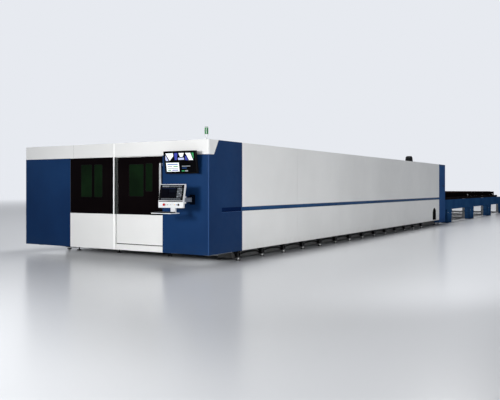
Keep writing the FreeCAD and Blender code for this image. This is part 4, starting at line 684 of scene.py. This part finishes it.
# The white of the ribs is a painted highlight on the lens; one rib is turned to face the front.
rib_count, rib_face, rib_half_width, rib_turn = 4, 0.0386, 0.004, math.radians(-55.0)
rib_sink, rib_foot, rib_top = 0.003, 0.010, 0.126
across = np.array([(-rib_sink, -rib_half_width), (0.0, -rib_half_width), (0.0, rib_half_width),
                   (-rib_sink, rib_half_width)])
rib_angle = rib_turn + 2.0 * math.pi / rib_count * np.arange(rib_count)[:, None, None]
stations = np.array((lamp_low.z + rib_foot, lamp_low.z + rib_top))[:, None]
lamp_highlight_ribs = np.empty((rib_count, 2, 4, 3))
lamp_highlight_ribs[..., 0] = lamp_x + (rib_face + across[:, 0]) * np.cos(rib_angle) - across[:, 1] * np.sin(rib_angle)
lamp_highlight_ribs[..., 1] = lamp_y + (rib_face + across[:, 0]) * np.sin(rib_angle) + across[:, 1] * np.cos(rib_angle)
lamp_highlight_ribs[..., 2] = stations
shells("lamp_highlight_ribs", "machine", white_case, [lamp_highlight_ribs])

# ----- brackets and swing arm
# Welded steel brackets are fixed to the cabin wall; their blue-black colour is painted shade, the shadow
# beside the monitor and console. The grey cast arm swings on them.

# The blue-black of the brackets is painted shade.
bracket_shade = finish("bracket_shade", (9, 18, 32), (6, 12, 24), 0.6, drift=0.2, grain=700, gloss=0.0)
dress(bracket_shade, "wall_brackets")
arm_grey = finish("arm_grey", (120, 128, 140), (100, 108, 120), 0.42, drift=0.2, grain=700)
dress(arm_grey, "swing_arm")

# ----- monitor
# A black moulded case with a glossy display. The picture is a plain nesting view: a sheet with parts on
# black at one side, and light panels of readings at the other.

case_black = finish("case_black", (12, 12, 13), (8, 8, 9), 0.4, drift=0.1, grain=1600, gloss=0.1)
dress(case_black, "monitor_housing")
screen_black = finish("screen_black", (6, 6, 8), (3, 3, 5), 0.12, drift=0.3, grain=4, gloss=0.03)
dress(screen_black, "monitor_screen")
display = finish("display", "tint", 0.9, 0.3, drift=0.02, grain=2000, depth=0.00002, gloss=0.0, glow=0.25)


def leaning(stack, lean, pivot):
    """Points given about a pivot and turned round the cross axis: (y, z) becomes
    (y cos a - z sin a, y sin a + z cos a), then the pivot is added."""
    x, y, z = np.moveaxis(np.asarray(stack, float), -1, 0)
    turned = np.stack((x, y * math.cos(lean) - z * math.sin(lean), y * math.sin(lean) + z * math.cos(lean)),
                      axis=-1)
    return turned + np.asarray(pivot)


def tiles(rows, left, foot, width, height, face, rise, gap):
    """Flat raised tiles on an upright face. Each row gives the left, foot, right and top as shares of the
    field, and a colour."""
    spots = np.array([row[:4] for row in rows], float)
    low = np.stack((left + spots[:, 0] * width + gap, np.full(len(spots), face - rise),
                    foot + spots[:, 1] * height + gap), axis=-1)
    high = np.stack((left + spots[:, 2] * width - gap, np.full(len(spots), face + rise),
                     foot + spots[:, 3] * height - gap), axis=-1)
    return bars(low, high, min(gap, rise) * 0.5, axis=1), [row[4] for row in rows]


def plates(rows, left, foot, width, height, face, rise):
    """Flat four-sided plates on an upright face. Each row gives four corners, clockwise from the front, as
    shares of the field, and a colour."""
    corners = np.array([row[0] for row in rows], float)
    stack = np.empty((len(corners), 2, 4, 3))
    stack[..., 0] = left + corners[:, None, :, 0] * width
    stack[..., 1] = face + np.array((-rise, rise))[:, None]
    stack[..., 2] = foot + corners[:, None, :, 1] * height
    return stack, [row[1] for row in rows]


cell_white, cell_lilac, cell_blue = srgb(232, 236, 240), srgb(176, 182, 214), srgb(58, 66, 150)
cell_green, bar_blue, bar_grey = srgb(52, 140, 82), srgb(44, 92, 160), srgb(150, 154, 158)
nested = [(((0.05, 0.94), (0.30, 0.94), (0.30, 0.80), (0.17, 0.58)), cell_white),
          (((0.05, 0.86), (0.13, 0.58), (0.05, 0.58), (0.03, 0.66)), cell_lilac),
          (((0.34, 0.94), (0.45, 0.94), (0.41, 0.62), (0.34, 0.62)), cell_blue),
          (((0.48, 0.94), (0.66, 0.94), (0.60, 0.76), (0.52, 0.76)), cell_white),
          (((0.45, 0.72), (0.64, 0.72), (0.64, 0.62), (0.45, 0.62)), cell_lilac),
          (((0.70, 0.94), (0.86, 0.94), (0.93, 0.60), (0.80, 0.60)), cell_white),
          (((0.68, 0.80), (0.72, 0.80), (0.77, 0.60), (0.68, 0.60)), cell_blue),
          (((0.89, 0.94), (0.96, 0.94), (0.96, 0.68), (0.94, 0.68)), cell_green),
          (((0.04, 0.49), (0.46, 0.49), (0.46, 0.07), (0.04, 0.07)), cell_white),
          (((0.53, 0.12), (0.62, 0.12), (0.62, 0.07), (0.53, 0.07)), cell_green),
          (((0.64, 0.12), (0.73, 0.12), (0.73, 0.07), (0.64, 0.07)), bar_grey)]
readings = [(0.08, 0.39, 0.42, 0.44, bar_blue), (0.08, 0.29, 0.24, 0.34, bar_grey),
            (0.27, 0.29, 0.42, 0.34, cell_green), (0.08, 0.20, 0.42, 0.24, bar_grey),
            (0.08, 0.11, 0.19, 0.16, cell_green), (0.22, 0.11, 0.42, 0.16, cell_blue),
            (0.55, 0.30, 0.82, 0.335, bar_grey), (0.55, 0.22, 0.70, 0.245, bar_blue)]
glass_low, glass_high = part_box("monitor_screen")
tilt, glass_half, glass_out = math.radians(10.0), 0.211, -0.079
pivot_reach, pivot_height = 0.075, 2.063
monitor_pivot = (0.0, front - pivot_reach, pivot_height)
print_rise, tile_rise, tile_gap = 0.0005, 0.0009, 0.0015
field = (glass_low.x, -glass_half, glass_high.x - glass_low.x, 2.0 * glass_half, glass_out)
stack, tints = plates(nested, *field, print_rise)
shells("monitor_nesting_view", "monitor", display,
       [leaning(stack, tilt, monitor_pivot)], tints)
stack, tints = tiles(readings, *field, tile_rise, tile_gap)
shells("monitor_readings", "monitor", display, [leaning(stack, tilt, monitor_pivot)], tints)

# ----- console
# White moulded housing with a black leaning panel: a small dark display framed by grey keys, and under
# it a strip with the red stop button, a row of lit push buttons and the black selector.

dress(white_case, "console_housing", "keyboard_tray")
panel_black = finish("panel_black", (10, 10, 12), (6, 6, 8), 0.35, drift=0.1, grain=1200, gloss=0.05)
dress(panel_black, "console_screen")
red_cap = finish("red_cap", (196, 26, 22), (172, 18, 18), 0.32, drift=0.02, grain=2000, depth=0.00003)
dress(red_cap, "emergency_stop")
dress(case_black, "selector_knob")
dress(zinc_and_glint, "start_button")
panel_low, panel_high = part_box("console_screen")
panel_setback, panel_rise, panel_foot, panel_out, desk_front = 0.065, 0.326, 1.290, 0.00816, 0.45
lean = -math.atan2(panel_setback, panel_rise)
panel_pivot = (0.0, front - desk_front - panel_out, panel_foot)
panel_height = math.hypot(panel_setback, panel_rise)
keys_grey = finish("keys_grey", "tint", 0.85, 0.45, drift=0.01, grain=1500)
grey_key, pale_key = srgb(86, 92, 98), srgb(128, 134, 140)
row_keys, row_left, row_right, row_pitch = 12, 0.10, 0.158, 0.068
pad_pitch_x, pad_pitch_z = 0.066, 0.096
panel_keys = [(row_left + row_pitch * i, 0.83, row_right + row_pitch * i, 0.92,
               pale_key if i < 4 else grey_key) for i in range(row_keys)]
panel_keys += [(row_left + row_pitch * i, 0.08, row_right + row_pitch * i, 0.16, grey_key)
               for i in range(row_keys)]
panel_keys += [(0.74 + pad_pitch_x * i, 0.22 + pad_pitch_z * j, 0.796 + pad_pitch_x * i,
                0.296 + pad_pitch_z * j, pale_key if (i + j) % 3 == 0 else grey_key)
               for i in range(3) for j in range(6)]
panel_field = (panel_low.x, 0.0, panel_high.x - panel_low.x, panel_height, 0.0)
key_rise, picture_rise, panel_gap, picture_step = 0.0025, 0.0006, 0.0005, 0.0004
stack, tints = tiles(panel_keys, *panel_field, key_rise, panel_gap)
shells("console_keys", "console", keys_grey, [leaning(stack, lean, panel_pivot)], tints)
reading = [(0.08, 0.21, 0.70, 0.78, srgb(5, 4, 8)), (0.10, 0.72, 0.68, 0.76, srgb(20, 30, 52)),
           (0.10, 0.24, 0.36, 0.69, srgb(8, 9, 14)), (0.39, 0.50, 0.68, 0.69, srgb(12, 15, 22)),
           (0.39, 0.24, 0.68, 0.46, srgb(9, 11, 16))]
stack, tints = tiles(reading, *panel_field, picture_rise, panel_gap)
stack[1:, ..., 1] -= picture_step
shells("console_picture", "console", display, [leaning(stack, lean, panel_pivot)], tints)

strip_face, strip_level, trim_foot, trim_top = front - desk_front, 1.218, 1.272, 1.289
foot_trim = bars((panel_low.x, strip_face - cover_rise, trim_foot),
                 (panel_high.x, strip_face + cover_sink, trim_top), strip_edge)
shells("panel_foot_trim", "console", panel_black, [foot_trim])
desk_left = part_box("console_housing")[0].x
ring = [(-0.003, 0.0155), (-0.003, 0.0175), (-0.002, 0.0185), (0.0, 0.0185), (0.0, 0.0155)]
lit = [(-0.007, 0.004), (-0.007, 0.009), (-0.0055, 0.0105), (0.0, 0.0105)]
ring_share, lens_share = 0.75, 0.85
lit_spots = [(desk_left + x, strip_face, strip_level) for x in (0.235, 0.355, 0.40, 0.445)]
collar_rings = spun([(s, r * ring_share) for s, r in ring], lit_spots, axis=1)
lenses = spun([(s, r * lens_share) for s, r in lit], lit_spots, axis=1)
shells("push_button_rings", "console", zinc_and_glint, [collar_rings])
button_tints = [srgb(60, 150, 90), srgb(220, 222, 224), srgb(236, 190, 60), srgb(60, 110, 190)]
shells("push_button_lenses", "console", keys_grey, [lenses], button_tints)

# ----- keyboard
# A black plastic keyboard lies on the folded white tray. Its low square keys have cut-off edges, and the
# space bar is as wide as five of them.

dress(case_black, "keyboard")
board_low, board_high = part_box("keyboard")
rows, columns, board_edge, key_gap, key_sink, key_round = 6, 18, 0.008, 0.002, 0.001, 0.0012
key_height, space_inset, space_back, space_rise = 0.0045, 0.01, 0.006, 0.0035
pitch_x = (board_high.x - board_low.x - 2.0 * board_edge) / columns
pitch_y = (board_high.y - board_low.y - 2.0 * board_edge) / rows
i, j = np.meshgrid(np.arange(columns), np.arange(rows), indexing="ij")
wide = (j == 0) & (i > 4) & (i < 10)
i, j = i[~wide], j[~wide]
key_low = np.stack((board_low.x + board_edge + i * pitch_x + key_gap,
                    board_low.y + board_edge + j * pitch_y + key_gap,
                    np.full(i.shape, board_high.z - key_sink)), axis=-1)
key_high = key_low + (pitch_x - 2.0 * key_gap, pitch_y - 2.0 * key_gap, key_height)
space_low = (board_low.x + space_inset + 5 * pitch_x, board_low.y + space_inset, board_high.z - key_sink)
space_high = (board_low.x + space_back + 10 * pitch_x, board_low.y + space_back + pitch_y,
              board_high.z + space_rise)
key_black = finish("key_black", (34, 35, 37), (26, 27, 29), 0.5, drift=0.05, grain=1800)
shells("keyboard_keys", "console", key_black,
       [bars(key_low, key_high, key_round), bars(space_low, space_high, key_round)])

# ----- studio
# A pale floor fades into pale surroundings. Six flat lights stand before the front, on the long side,
# overhead and under the front edge. The camera is at the eye height that the photograph's edges give.


def disc(name, radius, rings, spokes):
    """A flat round floor: the radius grows with the square of the ring number, and a point is
    (r cos t, r sin t, 0)."""
    r = radius * np.linspace(0.002, 1.0, rings) ** 2
    t = np.linspace(0.0, 2.0 * math.pi, spokes, endpoint=False)
    points = np.stack((np.outer(r, np.cos(t)), np.outer(r, np.sin(t)), np.zeros((rings, spokes))), axis=-1)
    i, j = np.meshgrid(np.arange(rings - 1), np.arange(spokes), indexing="ij")
    k = (j + 1) % spokes
    quads = np.stack((i * spokes + j, (i + 1) * spokes + j, (i + 1) * spokes + k, i * spokes + k), axis=-1)
    mesh = bpy.data.meshes.new(name)
    mesh.from_pydata(points.reshape(-1, 3).tolist(), [],
                     quads.reshape(-1, 4).tolist() + [list(range(spokes))])
    return placed(name, mesh)


pale = srgb(231, 234, 240)
floor_radius, floor_rings, floor_spokes, fade_start, fade_end = 260.0, 40, 96, 22.0, 75.0
floor = disc("floor", floor_radius, floor_rings, floor_spokes)
floor_look = bpy.data.materials.new("floor_look")
floor_look.use_nodes = True
nodes, links = floor_look.node_tree.nodes, floor_look.node_tree.links
shader = nodes["Principled BSDF"]
shader.inputs["Base Color"].default_value = srgb(224, 226, 229)
shader.inputs["Roughness"].default_value = 0.24
shader.inputs["Specular IOR Level"].default_value = 0.6
spot = nodes.new("ShaderNodeTexCoord")
length = nodes.new("ShaderNodeVectorMath")
length.operation = "LENGTH"
fade = nodes.new("ShaderNodeMapRange")
fade.interpolation_type = "SMOOTHSTEP"
fade.inputs[1].default_value, fade.inputs[2].default_value = fade_start, fade_end
far = nodes.new("ShaderNodeEmission")
far.inputs["Color"].default_value = pale
mix = nodes.new("ShaderNodeMixShader")
links.new(spot.outputs["Object"], length.inputs[0])
links.new(length.outputs["Value"], fade.inputs[0])
for source, socket in ((fade.outputs[0], 0), (shader.outputs[0], 1), (far.outputs[0], 2)):
    links.new(source, mix.inputs[socket])
links.new(mix.outputs[0], nodes["Material Output"].inputs["Surface"])
floor.data.materials.append(floor_look)

world = bpy.data.worlds.new("surroundings")
world.use_nodes = True
sky = world.node_tree
sky.nodes["Background"].inputs["Color"].default_value = pale
height = sky.nodes.new("ShaderNodeSeparateXYZ")
rise = sky.nodes.new("ShaderNodeMapRange")
rise.interpolation_type = "SMOOTHSTEP"
for socket, number in zip(rise.inputs[1:5], (0.30, 0.55, 1.0, 0.0)):
    socket.default_value = number
direction = sky.nodes.new("ShaderNodeTexCoord")
sky.links.new(direction.outputs["Generated"], height.inputs[0])
sky.links.new(height.outputs["Z"], rise.inputs[0])
sky.links.new(rise.outputs[0], sky.nodes["Background"].inputs["Strength"])
bpy.context.scene.world = world


def lamp(name, power, place, aim, size, spread):
    """A flat light at place whose -Z axis is turned onto the line from place to aim. Its beam is spread
    degrees wide."""
    light = bpy.data.lights.new(name, "AREA")
    light.energy, light.shape = power, "RECTANGLE"
    light.size, light.size_y = size
    light.spread = math.radians(spread)
    shown = placed(name, light)
    x, y, z = np.subtract(aim, place)
    shown.location = place
    shown.rotation_euler = (math.atan2(math.hypot(x, y), -z), 0.0, math.atan2(y, x) - math.pi / 2.0)


lamp("key", 228.0, (0.0, -28.0, 3.4), (3.2, -15.7, 1.5), (2.4, 2.4), 80.0)
lamp("side_far", 71.0, (12.0, -13.0, 2.6), (2.65, -12.0, 1.3), (6.0, 2.0), 120.0)
lamp("side_near", 49.0, (9.0, -17.5, 2.4), (2.65, -14.5, 1.3), (3.0, 2.0), 120.0)
lamp("overhead", 2470.0, (0.8, 0.0, 15.0), (0.8, 0.01, 0.0), (4.0, 30.0), 180.0)
lamp("under_front", 3.6, (0.0, -15.12, 0.17), (0.0, -15.119, 0.0), (4.8, 0.95), 180.0)
lamp("floor_wash", 335.0, (5.0, -26.0, 7.0), (5.0, -26.01, 0.0), (8.0, 6.0), 100.0)

eye, heading = (9.972, -26.177, 1.555), 31.311
picture_width, picture_middle, horizon = 500.0, 200.0, 187.33
camera = bpy.data.cameras.new("camera")
camera.lens, camera.sensor_width, camera.clip_end = 47.05, 36.0, 600.0
camera.shift_y = -(picture_middle - horizon) / picture_width
shown = placed("camera", camera)
shown.location = eye
shown.rotation_euler = (math.pi / 2.0, 0.0, math.radians(heading))
bpy.context.scene.camera = shown
bpy.context.scene.view_settings.view_transform = "Standard"
